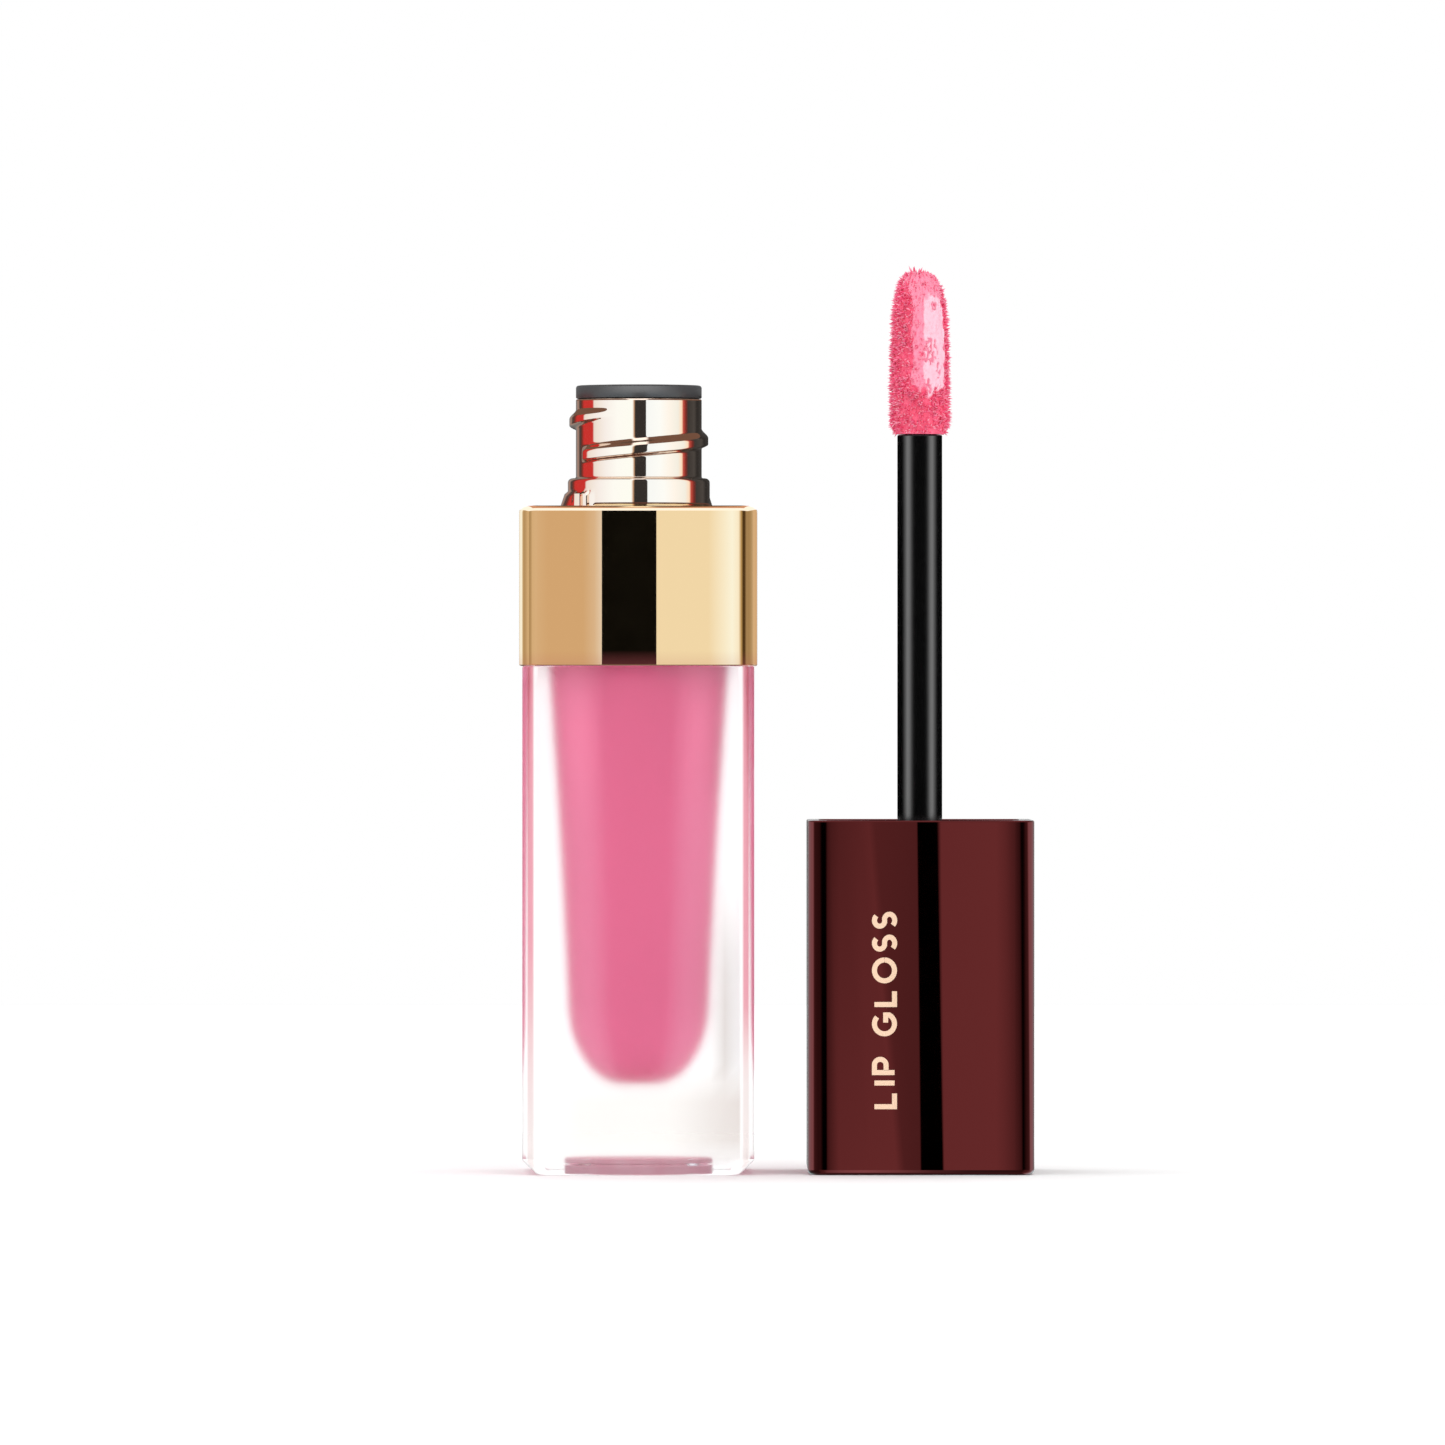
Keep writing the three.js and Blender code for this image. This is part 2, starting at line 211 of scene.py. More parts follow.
def quarter_arc(centre_r, centre_z, start, end, radius_r, radius_z, steps=8):
    """Points (r, z) of an ellipse between two angles in degrees."""
    points = []
    for i in range(steps + 1):
        t = math.radians(start + (end - start) * i / steps)
        points.append((centre_r + radius_r * math.cos(t), centre_z + radius_z * math.sin(t)))
    return points


def turned(name, profile, axis_x, sides=128, loop=False, poles=(True, True), sharp=35):
    """A body of revolution from (r, z) points."""
    rings = [circle(r, z, sides) for r, z in profile]
    return steady(link(name, *skin(rings, loop, (False, False) if loop else poles), axis_x, sharp))


def edge_rings(half, corner, bevel, z_edge, inward, steps=5):
    """Rings of a rounded edge: from the flat end of a block to its side, or back if inward is True."""
    rings = []
    for i in range(steps + 1):
        t = math.pi / 2 * i / steps
        cut = bevel * (1 - math.sin(t))
        rise = bevel * (1 - math.cos(t))
        rings.append((half - cut, max(corner - cut, 0.15), rise))
    made = [square_ring(h, c, z_edge + r * (-1 if inward else 1)) for h, c, r in rings]
    return made[::-1] if inward else made


# ---------------------------------------------------------------- material helpers
def material(name, **sockets):
    """A material with one Principled shader, its sockets set by name."""
    mat = bpy.data.materials.new(name)
    mat.use_nodes = True
    shader = mat.node_tree.nodes["Principled BSDF"]
    for socket, value in sockets.items():
        shader.inputs[socket.replace("_", " ")].default_value = value
    return mat


def node(tree, kind, inputs=(), **settings):
    """A shader node with its settings, and for each input named a value or the output that feeds it."""
    made = tree.nodes.new("ShaderNode" + kind)
    for name, value in settings.items():
        setattr(made, name, value)
    for key, value in dict(inputs).items():
        if isinstance(value, bpy.types.NodeSocket):
            tree.links.new(value, made.inputs[key])
        else:
            made.inputs[key].default_value = value
    return made.outputs


def drive(mat, socket, output):
    """Feeds a socket of a material's shader."""
    mat.node_tree.links.new(output, mat.node_tree.nodes["Principled BSDF"].inputs[socket])


def map_range(tree, source, given, wanted, interpolation="LINEAR"):
    """Maps values of one range onto another, held at both ends."""
    ends = dict(zip(("From Min", "From Max", "To Min", "To Max"), (*given, *wanted)))
    return node(tree, "MapRange", {"Value": source, **ends}, interpolation_type=interpolation)["Result"]


def ramp(tree, source, stops, interpolation="LINEAR"):
    """Colours at stops along a 0 to 1 source."""
    made = tree.nodes.new("ShaderNodeValToRGB")
    made.color_ramp.interpolation = interpolation
    for i, (position, shade) in enumerate(stops):
        stop = made.color_ramp.elements[i] if i < 2 else made.color_ramp.elements.new(position)
        stop.position, stop.color = position, (*grey(shade), 1)
    tree.links.new(source, made.inputs["Fac"])
    return made.outputs["Color"]


def mesh_colour(tree, layer):
    """The colours that a mesh carries at its points."""
    return node(tree, "VertexColor", layer_name=layer)["Color"]


def add_noise(mat, scale, detail=4.0, stretch=(1, 1, 1)):
    """A noise texture in object space, in cells a metre."""
    tree = mat.node_tree
    place = node(tree, "Mapping", {"Vector": node(tree, "TexCoord")["Object"], "Scale": stretch})["Vector"]
    return node(tree, "TexNoise", {"Vector": place, "Scale": scale, "Detail": detail})["Fac"]


NOISE_RANGE = (0.3, 0.7)  # nearly all values of a noise texture lie here


def smear(mat, low, high, *grain):
    """Roughness between two values."""
    drive(mat, "Roughness", map_range(mat.node_tree, add_noise(mat, *grain), NOISE_RANGE, (low, high)))


def mottle(mat, low, high, *grain):
    """Base colour between two colours."""
    drive(mat, "Base Color", ramp(mat.node_tree, add_noise(mat, *grain), ((0.35, low), (0.65, high))))


def emboss(mat, height, *grain):
    """A bump, with its height in millimetres."""
    bump = node(mat.node_tree, "Bump", {"Height": add_noise(mat, *grain), "Distance": height * MM})
    drive(mat, "Normal", bump["Normal"])


def tinted(mat, low, high, *grain):
    """Base colour from the colours the mesh carries at its points, which include painted light and shade on
    the gloss and the fibres, mottled between two levels.
    """
    tree = mat.node_tree
    level = map_range(tree, add_noise(mat, *grain), NOISE_RANGE, (low, high))
    product = node(tree, "VectorMath", {0: mesh_colour(tree, "tint"), "Scale": level}, operation="SCALE")
    drive(mat, "Base Color", product["Vector"])


# ---------------------------------------------------------------- materials
SATIN_FROM, SATIN_TO = 1.5, 5.0  # mm over the foot, where the wall turns from nearly clear to satin


def clear_wall():
    """Clear plastic with a satin skin that thins out at the foot, in the colours painted at the wall's
    points: painted pink refraction in the corners and painted shade low in front.
    """
    mat = material("clear_wall", Roughness=0.45, IOR=1.49, Transmission_Weight=1.0)
    tree = mat.node_tree
    height = node(tree, "SeparateXYZ", {"Vector": node(tree, "TexCoord")["Object"]})["Z"]
    satin = map_range(tree, height, (SATIN_FROM * MM, SATIN_TO * MM), (0.16, 0.37), "SMOOTHSTEP")
    grain = map_range(tree, add_noise(mat, 900, 3), (0, 1), (-0.03, 0.03))
    drive(mat, "Roughness", node(tree, "Math", {0: satin, 1: grain})["Value"])
    drive(mat, "Base Color", mesh_colour(tree, "tint"))
    return mat


def plating(name, colour, low, high):
    """Polished metal with a faint unevenness, and roughness between two values."""
    mat = material(name, Base_Color=(*colour, 1), Metallic=1.0, Roughness=low)
    smear(mat, low, high, 700, 5)
    emboss(mat, 0.00003, 9000, 2)
    return mat


def lacquer():
    mat = plating("maroon_lacquer", (0.127, 0.0212, 0.0212), 0.05, 0.09)
    mottle(mat, (0.118, 0.0195, 0.0195), (0.136, 0.023, 0.023), 40000, 2)
    return mat


def pink_gloss():
    mat = material("pink_gloss", Roughness=0.9, Specular_IOR_Level=0.0,
                   Sheen_Weight=0.25, Sheen_Roughness=0.5, Sheen_Tint=(1, 0.55, 0.7, 1))
    tinted(mat, 0.98, 1.02, 120, 3, (1, 1, 0.35))
    return mat


def base_plastic():
    mat = material("base_plastic", Base_Color=(0.96, 0.52, 0.64, 1), Roughness=0.5)
    mottle(mat, (0.95, 0.48, 0.60), (0.98, 0.57, 0.68), 500, 3)
    return mat


def wiper_rubber():
    mat = material("wiper_rubber", Base_Color=(0.04, 0.04, 0.042, 1), Roughness=0.34)
    smear(mat, 0.28, 0.4, 1500, 4)
    emboss(mat, 0.004, 9000, 3)
    return mat


def black_plastic():
    mat = material("black_plastic", Base_Color=(0.002, 0.002, 0.0022, 1), Roughness=0.16,
                   Specular_IOR_Level=0.5)
    smear(mat, 0.14, 0.2, 1200, 4)
    return mat


def liner_plastic():
    mat = material("liner_plastic", Base_Color=(0.05, 0.012, 0.014, 1), Roughness=0.4)
    smear(mat, 0.34, 0.5, 900, 4)
    emboss(mat, 0.004, 5000, 3)
    return mat


def washer_foam():
    mat = material("washer_foam", Base_Color=(0.8, 0.77, 0.74, 1), Roughness=0.85)
    emboss(mat, 0.02, 6000, 4)
    return mat


def tip_rubber():
    mat = material("tip_rubber", Base_Color=(0.7, 0.3, 0.4, 1), Roughness=0.6)
    emboss(mat, 0.01, 4000, 3)
    return mat


def pink_flock():
    mat = material("pink_flock", Base_Color=(0.75, 0.09, 0.18, 1), Roughness=0.8)
    mottle(mat, (0.80, 0.08, 0.17), (0.94, 0.15, 0.26), 1500, 4)
    emboss(mat, 0.05, 6000, 4)
    return mat


def flock_fibre():
    mat = material("flock_fibre", Roughness=0.7, Specular_IOR_Level=0.1,
                   Sheen_Weight=0.5, Sheen_Roughness=0.4, Sheen_Tint=(1.0, 0.35, 0.5, 1))
    tinted(mat, 0.9, 1.05, 1800, 3)
    return mat


def wet_gloss():
    mat = material("wet_gloss", Roughness=0.22, Coat_Weight=0.25, Coat_Roughness=0.06)
    tinted(mat, 0.94, 1.02, 2500, 3)
    emboss(mat, 0.10, 1600, 3)
    return mat


def foil():
    mat = material("foil", Base_Color=(0.93, 0.66, 0.47, 1), Roughness=0.45, Metallic=0.3)
    smear(mat, 0.35, 0.55, 3000, 4)
    return mat


# ---------------------------------------------------------------- finishing a piece
def paint(made, mat):
    """Gives an object one material."""
    made.data.materials.clear()
    made.data.materials.append(mat)


def finish_piece(made, mat, body, slot, *nodes):
    """Paints a piece, lets it ride on its body and stand for its CAD nodes."""
    paint(made, mat)
    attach(made, body)
    if nodes:
        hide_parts(*nodes)
    return made


# ---------------------------------------------------------------- the bottle
CORNER, SHOULDER_CORNER = 1.2, 1.0
FOOT_BREAK, SIDE_CHAMFER = 0.2, 1.2
FOOT_LEVELS = (0.0, 0.03, 0.09, FOOT_BREAK, 0.45, 0.75, 1.0, 1.12, SIDE_CHAMFER, 1.3)
BODY_TOP, TOP_BREAK = 40.6, 0.1
SHOULDER_HALF, SHOULDER_TOP = 8.15, 52.3
BORE_RADIUS, BORE_OUTER, BORE_FOOT = 3.55, 4.25, 51.2
RECESS_RADIUS, RECESS_DEPTH = 5.9, 1.2
CHAMBER_FLOOR, CHAMBER_FLAT = 7.2, 1.3
CHAMBER_BEND, CHAMBER_TOP = (5.65, 13.9), (7.2, BODY_TOP)  # radius and height
DOME_FOOT, DOME_RISE = 47.5, 3.7  # the chamber closes in to the bore over these heights


def chamber_radius(z):
    """The gloss chamber's radius above its bend, flaring gently towards the top."""
    low_r, low_z = CHAMBER_BEND
    high_r, high_z = CHAMBER_TOP
    t = (min(z, high_z) - low_z) / (high_z - low_z)
    return low_r + (high_r - low_r) * (0.72 * t + 0.28 * t * t)


def chamber_profile(grow, top):
    """(r, z) points of the chamber's wall from the axis at the floor up to a height."""
    bend_r, bend_z = CHAMBER_BEND
    tall = bend_z - CHAMBER_FLOOR
    points = [(r, CHAMBER_FLOOR - grow) for r in between(0, CHAMBER_FLAT, 3)]
    points += quarter_arc(CHAMBER_FLAT, bend_z, -90, 0, bend_r - CHAMBER_FLAT + grow, tall + grow, 14)
    return points + [(chamber_radius(z) + grow, z) for z in (*between(bend_z, top, 16), top)]


def foot_rings(half):
    """The block's lower edge: a small break all round, and a chamfer up each side."""
    rings = []
    for z in FOOT_LEVELS:
        short = max(0.0, 1 - z / FOOT_BREAK)
        cut = FOOT_BREAK * (1 - math.sqrt(1 - short * short))
        squeeze = 1 - max(0.0, SIDE_CHAMFER - z) / half
        rings.append([(x * squeeze, y, z) for x, y, _ in square_ring(half - cut, CORNER, z)])
    return rings


def bottle():
    """The wall as one closed skin: recess, foot, sides, shoulder, mouth and the chamber inside."""
    half = width("bottle_body") / 2
    _, top = span("bottle_body")
    edge = BODY_TOP - TOP_BREAK
    recess = ((1.5, RECESS_DEPTH), (RECESS_RADIUS, RECESS_DEPTH), (RECESS_RADIUS, 0))
    rings = [round_ring(r, z) for r, z in recess] + foot_rings(half)
    rings += [square_ring(half, CORNER, z) for z in (*between(FOOT_LEVELS[-1], edge, 26), edge)]
    rings += [square_ring(half - TOP_BREAK, CORNER - TOP_BREAK, BODY_TOP)]
    rings += [square_ring(SHOULDER_HALF, SHOULDER_CORNER, z) for z in (BODY_TOP, SHOULDER_TOP)]
    rings += [round_ring(BORE_OUTER, SHOULDER_TOP), round_ring(BORE_OUTER, top)]
    rings += [round_ring(BORE_RADIUS, top), round_ring(BORE_RADIUS, BORE_FOOT)]
    dome = quarter_arc(BORE_RADIUS, DOME_FOOT, 90, 0, CHAMBER_TOP[0] - BORE_RADIUS, DOME_RISE)[1:]
    rings += [round_ring(r, z) for r, z in dome + chamber_profile(0, BODY_TOP)[::-1]]
    made = steady(link("bottle", *skin(rings, poles=(True, True)), BOTTLE_AXIS, 50))
    colour_points(made, [wall_painted_light(x, y, z, half) for x, y, z in points_of(made, BOTTLE_AXIS)])
    return finish_piece(made, clear_wall(), "bottle", "clear_wall", "bottle_body")


UNTINTED = (1.0, 1.0, 1.0)
# The corners' pink is painted refraction of the gloss, fading to a painted grey pink at the foot.
CORNER_REFRACTION_PINK, CORNER_REFRACTION_FOOT = (0.62, 0.125, 0.18), (0.74, 0.62, 0.60)
CORNER_SIDE, CORNER_BACK = 0.05, 0.5  # parts of the corners' painted pink refraction on the sides and at the back
# Painted shade low on the front of the wall: a warm grey, and a deeper shade towards the right.
WALL_WARM_SHADE, WALL_SHADE = (0.87, 0.84, 0.79), (0.60, 0.53, 0.49)


def wall_painted_light(x, y, z, half):
    """The wall's painted light: painted pink refraction in the corners, fading towards the foot, and painted
    warm shade low in front, deeper at the right.
    """
    inside = half - CORNER + 0.25
    # Painted pink refraction of the gloss in the rounded corners.
    if abs(x) > inside and abs(y) > inside:
        rise = smooth((z - 1) / 19) if x < 0 else smooth((z - 6.5) / 8)
        strength = (1.0 if abs(y) > abs(x) else CORNER_SIDE) * (1.0 if y < 0 else CORNER_BACK)
        return blend(UNTINTED, blend(CORNER_REFRACTION_FOOT, CORNER_REFRACTION_PINK, rise), strength)
    if y >= -half + 0.01:
        return UNTINTED
    # Painted shade: warm grey low on the front, deeper towards the right.
    low = smooth((8.5 - z) / 2.5)
    tint = blend(UNTINTED, WALL_WARM_SHADE, smooth((x + 9) / 5) * low)
    tint = blend(tint, WALL_SHADE, smooth((x - 1.5) / 6.2) * low)
    # Painted shade reaching higher up near the right corner.
    if 5 < x < 7.5:
        tint = blend(tint, WALL_SHADE, smooth((x - 5) / 2.5) * smooth((28 - z) / 16) * (1 - low))
    # Painted shade: a grey band near the right corner at mid height.
    middle = smooth((24 - z) / 8) * smooth((z - 6) / 4)
    tint = blend(tint, (0, 0, 0), 0.3 * smooth((x - 6) / 1.2) * middle)
    return blend(UNTINTED, tint, smooth((z - 0.7) / 1.2))


GLOSS_PINK = (0.99, 0.182, 0.37)
LOW_HIGHLIGHT_LIFTS, HIGH_HIGHLIGHT_LIFTS = (0.04, 0.52, 0.27), (0.18, 0.66, 0.40)  # of red, green and blue in the painted highlight bands
GLOSS_GROW = 0.02  # the gloss wets the wall, so it reaches just into it


def gloss_painted_light(x, y, z):
    """The gloss's pink, with painted highlight bands where it faces between the wall's sides, and painted
    light brightening its lower end, more on the right.
    """
    bearing = math.atan2(y, x)
    highlit = max(0.0, -math.cos(4 * bearing))
    # Painted light: brighter towards the lower end, more so on the right.
    bright = 1 + smooth((14.5 - z) / 6) * (0.15 + 0.14 * max(0.0, math.cos(bearing)))
    highlight_lifts = blend(LOW_HIGHLIGHT_LIFTS, HIGH_HIGHLIGHT_LIFTS, smooth((z - 26) / 10))
    return tuple(p * (1 + lift * highlit) * bright for p, lift in zip(GLOSS_PINK, highlight_lifts))


def gloss():
    _, level = span("gloss_fill")
    profile = chamber_profile(GLOSS_GROW, BODY_TOP)
    profile += [(CHAMBER_TOP[0] + GLOSS_GROW, level), (6.0, level), (3.0, level)]
    made = turned("gloss", profile, BOTTLE_AXIS)
    # The gloss's point colours hold painted highlight bands and painted light.
    colour_points(made, [gloss_painted_light(x, y, z) for x, y, z in points_of(made, BOTTLE_AXIS)])
    return finish_piece(made, pink_gloss(), "bottle", "pink_gloss", "gloss_fill")


def base_plug():
    """The plug in the base's recess, with a groove round it."""
    low, high = span("base_plug")
    r, foot = RECESS_RADIUS + GLOSS_GROW, 0.08
    rim = [(r, foot + 0.05), (r, 0.66), (r - 0.1, 0.72), (r - 0.1, 0.80), (r, 0.86), (r, high)]
    profile = [(r - 0.5, low), (r - 0.5, foot), (r - 0.05, foot)] + rim + [(r - 0.1, high + 0.1)]
    made = turned("base_plug_fine", profile, BOTTLE_AXIS, 96)
    return finish_piece(made, base_plastic(), "bottle", "base_plastic", "base_plug")


def collar():
    """A square sleeve with a plate on top and a round hole for the neck."""
    half = width("gold_collar") / 2
    low, top = span("gold_collar")
    corner, bevel, wall, plate, hole = 1.4, 0.55, 1.2, 1.0, 5.3
    inner = half - wall
    rings = [square_ring(half - 0.06, corner, low), square_ring(half, corner, low + 0.06)]
    rings += [square_ring(half, corner, z) for z in between(low + 0.06, top - bevel, 4)]
    rings += edge_rings(half, corner, bevel, top, True, 6)
    rings += [round_ring(hole + 0.1, top), round_ring(hole, top - 0.1), round_ring(hole, top - plate)]
    rings += [square_ring(inner, 0.8, top - plate), square_ring(inner, 0.8, low)]
    made = steady(link("collar", *skin(rings, loop=True), BOTTLE_AXIS, 40))
    return finish_piece(made, plating("pale_gold", (0.88, 0.672, 0.381), 0.03, 0.06), "bottle",
                        "pale_gold_plating", "gold_collar")


# ---------------------------------------------------------------- the threaded neck
PITCH = 3.0
NECK_RADIUS = 5.05
THREAD_HEIGHT, THREAD_HALF = 0.53, 0.80
THREAD_START_Z, THREAD_START, THREAD_SWEEP = 57.6, -155.0, 403.0  # mm, degrees, degrees
THREAD_FADE_IN, THREAD_FADE_OUT = 13.0, 40.0  # degrees
LUG_FROM, LUG_TO, LUG_RAMP = 38.0, 88.0, 17.0  # degrees
LUG_HEIGHT, LUG_RADIUS = 1.05, 6.3
LUG_NOTCHES = (43.5, 49.0)  # degrees
BACK_LUG_SHORTER = 17.0  # degrees
BEAD_RADIUS, BEAD_TOP, BEAD_EDGE = 5.7, 55.7, 0.35
FILLET = 0.2  # from the bead's top to where the thread may start
THREAD_ROWS, NECK_SIDES = 84, 400


def ridge_section(up):
    """The ridge's height, 0 to 1, at a distance from its middle in half widths: steeper below than above."""
    return smooth((1.0 - up) / 0.95) if up > 0 else smooth((1.0 + up) / 0.42)


def thread_height(bearing, z):
    """How far the thread stands out at a bearing in degrees and a height."""
    best = 0.0
    for turn in range(-1, 3):
        along = (bearing - THREAD_START) % 360 + 360 * turn
        if not 0 <= along <= THREAD_SWEEP:
            continue
        middle = THREAD_START_Z + PITCH * along / 360
        swell = smooth(along / THREAD_FADE_IN) * smooth((THREAD_SWEEP - along) / THREAD_FADE_OUT)
        narrow = 0.55 + 0.45 * smooth((THREAD_SWEEP - along) / (1.6 * THREAD_FADE_OUT))
        height = THREAD_HEIGHT * swell * ridge_section((z - middle) / (THREAD_HALF * narrow))
        best = max(best, height)
    return best


def neck_outline():
    """(r, z) points up the outside of the plain neck, close together where the thread is."""
    foot = span("gold_collar")[1] + 0.05
    low, top = span("threaded_neck")
    points = [(5.2, low), (5.2, foot), (BEAD_RADIUS - 0.05, foot), (BEAD_RADIUS, foot + 0.05)]
    lift = BEAD_TOP - BEAD_EDGE
    points += [(BEAD_RADIUS, z) for z in between(foot + 0.05, lift, 8)]
    points += quarter_arc(BEAD_RADIUS - BEAD_EDGE, lift, 0, 90, BEAD_EDGE, BEAD_EDGE, 6)
    points += quarter_arc(NECK_RADIUS + 0.15, BEAD_TOP + 0.15, 270, 180, 0.15, 0.15, 4)
    end = top - 0.12
    points += [(NECK_RADIUS, z) for z in (*between(BEAD_TOP + FILLET, end, THREAD_ROWS), end)]
    points += quarter_arc(NECK_RADIUS - 0.1, top - 0.1, 0, 90, 0.1, 0.1, 3)[1:]
    return points


def lug_reach(bearing, z, foot):
    """The radius of the two ramped stop lugs at the bead's foot, or 0 where there is none."""
    front = (bearing + 90) % 180  # 0 at the front and the back, clockwise seen from above
    side = 180 - front
    last = LUG_TO if bearing > 180 else LUG_TO - BACK_LUG_SHORTER
    if z > foot + LUG_HEIGHT or not LUG_FROM <= side <= last:
        return 0.0
    slope = (z - foot) / LUG_HEIGHT
    crest = BEAD_RADIUS + (LUG_RADIUS - BEAD_RADIUS) * min(1.0, (side - LUG_FROM) / LUG_RAMP)
    notch = 0.34 if any(abs(side - at) < 1.1 for at in LUG_NOTCHES) else 0.0
    return crest - 0.35 * slope * smooth((side - LUG_FROM - LUG_RAMP) / 6) - notch


def neck():
    """The sleeve as one closed skin, with the thread, the bead and the lugs raised from its outline."""
    foot = span("gold_collar")[1] + 0.05
    low, top = span("threaded_neck")
    rings = []
    for r, z in neck_outline():
        ring = []
        for j in range(NECK_SIDES):
            bearing = 360 * j / NECK_SIDES
            reach = r + (thread_height(bearing, z) if z > BEAD_TOP + FILLET and r == NECK_RADIUS else 0)
            if foot <= z < BEAD_TOP - BEAD_EDGE:
                reach = max(reach, lug_reach(bearing, z, foot))
            t = math.radians(bearing)
            ring.append((reach * math.cos(t), reach * math.sin(t), z))
        rings.append(ring)
    inner = BORE_OUTER + 0.1
    rings += [circle(inner, top, NECK_SIDES), circle(inner, low, NECK_SIDES)]
    made = link("neck", *skin(rings, loop=True), BOTTLE_AXIS, 50)
    mat = plating("rose_gold", (0.93, 0.76, 0.64), 0.03, 0.06)
    return finish_piece(made, mat, "bottle", "rose_gold_plating", "threaded_neck")


def wiper():
    """The plug: a flange on the neck, a tube into it and a wiping lip at its lower end."""
    low, top = span("wiper")
    foot = span("threaded_neck")[1] + 0.05
    r, tube, bore, lip = NECK_RADIUS, 3.5, 3.0, 1.75
    cone_top = 53.2
    profile = [(lip + 0.2, low), (lip + 0.45, low + 0.1), (tube, cone_top), (tube, foot), (r - 0.12, foot)]
    profile += quarter_arc(r - 0.12, foot + 0.12, -90, 0, 0.12, 0.12, 3)[1:]
    profile += quarter_arc(r - 0.22, top - 0.22, 0, 90, 0.22, 0.22, 5)
    profile += quarter_arc(bore + 0.35, top - 0.35, 90, 180, 0.35, 0.35, 5)
    profile += [(bore, cone_top + 0.4), (bore - 0.05, cone_top + 0.2)]
    profile += [(lip + 0.05, low + 0.15), (lip, low + 0.05)]
    made = turned("wiper_plug", profile, BOTTLE_AXIS, loop=True)
    return finish_piece(made, wiper_rubber(), "bottle", "wiper_rubber", "wiper")


# ---------------------------------------------------------------- the applicator
def cap():
    """A square cup on its closed end."""
    half = width("overcap") / 2
    _, top = span("overcap")
    corner, bevel, rim, wall, end = 1.5, 0.5, 0.15, 1.0, 1.4
    inner = half - wall
    rings = [square_ring(3.0, 0.5, 0)] + edge_rings(half, corner, bevel, 0, False, 6)
    rings += [square_ring(half, corner, z) for z in between(bevel, top - rim, 6)]
    rings += edge_rings(half, corner, rim, top, True, 4)
    rings += [square_ring(inner + 0.08, 0.5, top)]
    rings += [square_ring(inner, 0.5, z) for z in (top - 0.08, end)]
    made = steady(link("cap", *skin(rings, poles=(True, True)), CAP_AXIS, 40))
    return finish_piece(made, lacquer(), "applicator", "maroon_lacquer", "overcap")


def arc_points(cx, cy, rx, ry, start, end, steps=14):
    """Points of a letter's bow between two angles in degrees."""
    turn = [math.radians(start + (end - start) * i / steps) for i in range(steps + 1)]
    return [(cx + rx * math.cos(t), cy + ry * math.sin(t)) for t in turn]


LETTERS = {  # a width, then strokes in a box one unit tall
    "L": (0.66, [[(0, 1), (0, 0), (0.66, 0)]]),
    "I": (0.0, [[(0, 0), (0, 1)]]),
    "P": (0.66, [[(0, 0), (0, 1), (0.36, 1), *arc_points(0.38, 0.71, 0.28, 0.29, 90, -90), (0.11, 0.42)]]),
    "G": (0.94, [arc_points(0.5, 0.5, 0.5, 0.5, 48, 332, 24) + [(0.94, 0.44), (0.56, 0.44)]]),
    "O": (1.04, [arc_points(0.52, 0.5, 0.52, 0.5, 0, 360, 32)]),
    "S": (0.62, [arc_points(0.31, 0.74, 0.29, 0.26, 40, 250)
                 + arc_points(0.31, 0.25, 0.31, 0.26, 70, -140)]),
}
WORDS = "LIP GLOSS"
LETTER_HEIGHT, STROKE = 1.6, 0.40
LETTER_GAP, WORD_GAP = 0.52, 0.75  # in letter heights
FOIL_SUNK, FOIL_PROUD = 0.005, 0.012
FOIL_CENTRE = (-2.93, 13.15)  # mm from the cap's axis, and up


def ribbon(path, half):
    """Points left and right of a path, mitred at its bends."""
    sides = []
    for i, (x, y) in enumerate(path):
        ways = []
        for a, b in ((i - 1, i), (i, i + 1)):
            if 0 <= a and b < len(path):
                dx, dy = path[b][0] - path[a][0], path[b][1] - path[a][1]
                length = math.hypot(dx, dy)
                ways.append((-dy / length, dx / length))
        nx, ny = sum(w[0] for w in ways) / len(ways), sum(w[1] for w in ways) / len(ways)
        scale = half / (nx * nx + ny * ny)
        sides.append(((x + nx * scale, y + ny * scale), (x - nx * scale, y - ny * scale)))
    return sides


def foil_strokes():
    """The words as (along, up) paths in millimetres from their lower left, and their length."""
    along, paths = 0.0, []
    for letter in WORDS:
        if letter == " ":
            along += WORD_GAP * LETTER_HEIGHT
            continue
        wide, strokes = LETTERS[letter]
        paths += [[(along + x * LETTER_HEIGHT, y * LETTER_HEIGHT) for x, y in stroke] for stroke in strokes]
        along += (wide + LETTER_GAP) * LETTER_HEIGHT
    return paths, along - LETTER_GAP * LETTER_HEIGHT


def foil_words():
    """Plain words stamped in foil up the cap's front."""
    face = -width("overcap") / 2
    paths, length = foil_strokes()
    verts, faces = [], []
    for path in paths:
        start = len(verts)
        sides = ribbon(path, STROKE / 2)
        for pair in sides:
            for along, up in pair:
                x = FOIL_CENTRE[0] + LETTER_HEIGHT / 2 - up
                z = FOIL_CENTRE[1] + along - length / 2
                verts += [(x, face - FOIL_PROUD, z), (x, face + FOIL_SUNK, z)]
        for i in range(len(sides) - 1):
            a = start + 4 * i
            faces += [(a, a + 4, a + 6, a + 2), (a + 1, a + 3, a + 7, a + 5),
                      (a, a + 1, a + 5, a + 4), (a + 2, a + 6, a + 7, a + 3)]
        end = start + 4 * (len(sides) - 1)
        faces += [(start, start + 2, start + 3, start + 1), (end, end + 1, end + 3, end + 2)]
    made = link("foil_words", verts, faces, CAP_AXIS)
    return finish_piece(made, foil(), "applicator", "maroon_lacquer")


STEM_RADIUS, STEM_EDGE = 1.8, 0.12
STEM_ROOT = 2.0  # the radius that sits in the liner's boss
STEM_BEAD, BEAD_FROM, BEAD_TO = 2.6, 17.95, 18.4  # the bead that stops the stem in the boss
SHANK_RADIUS, SHANK_DEPTH = 1.0, 8.4


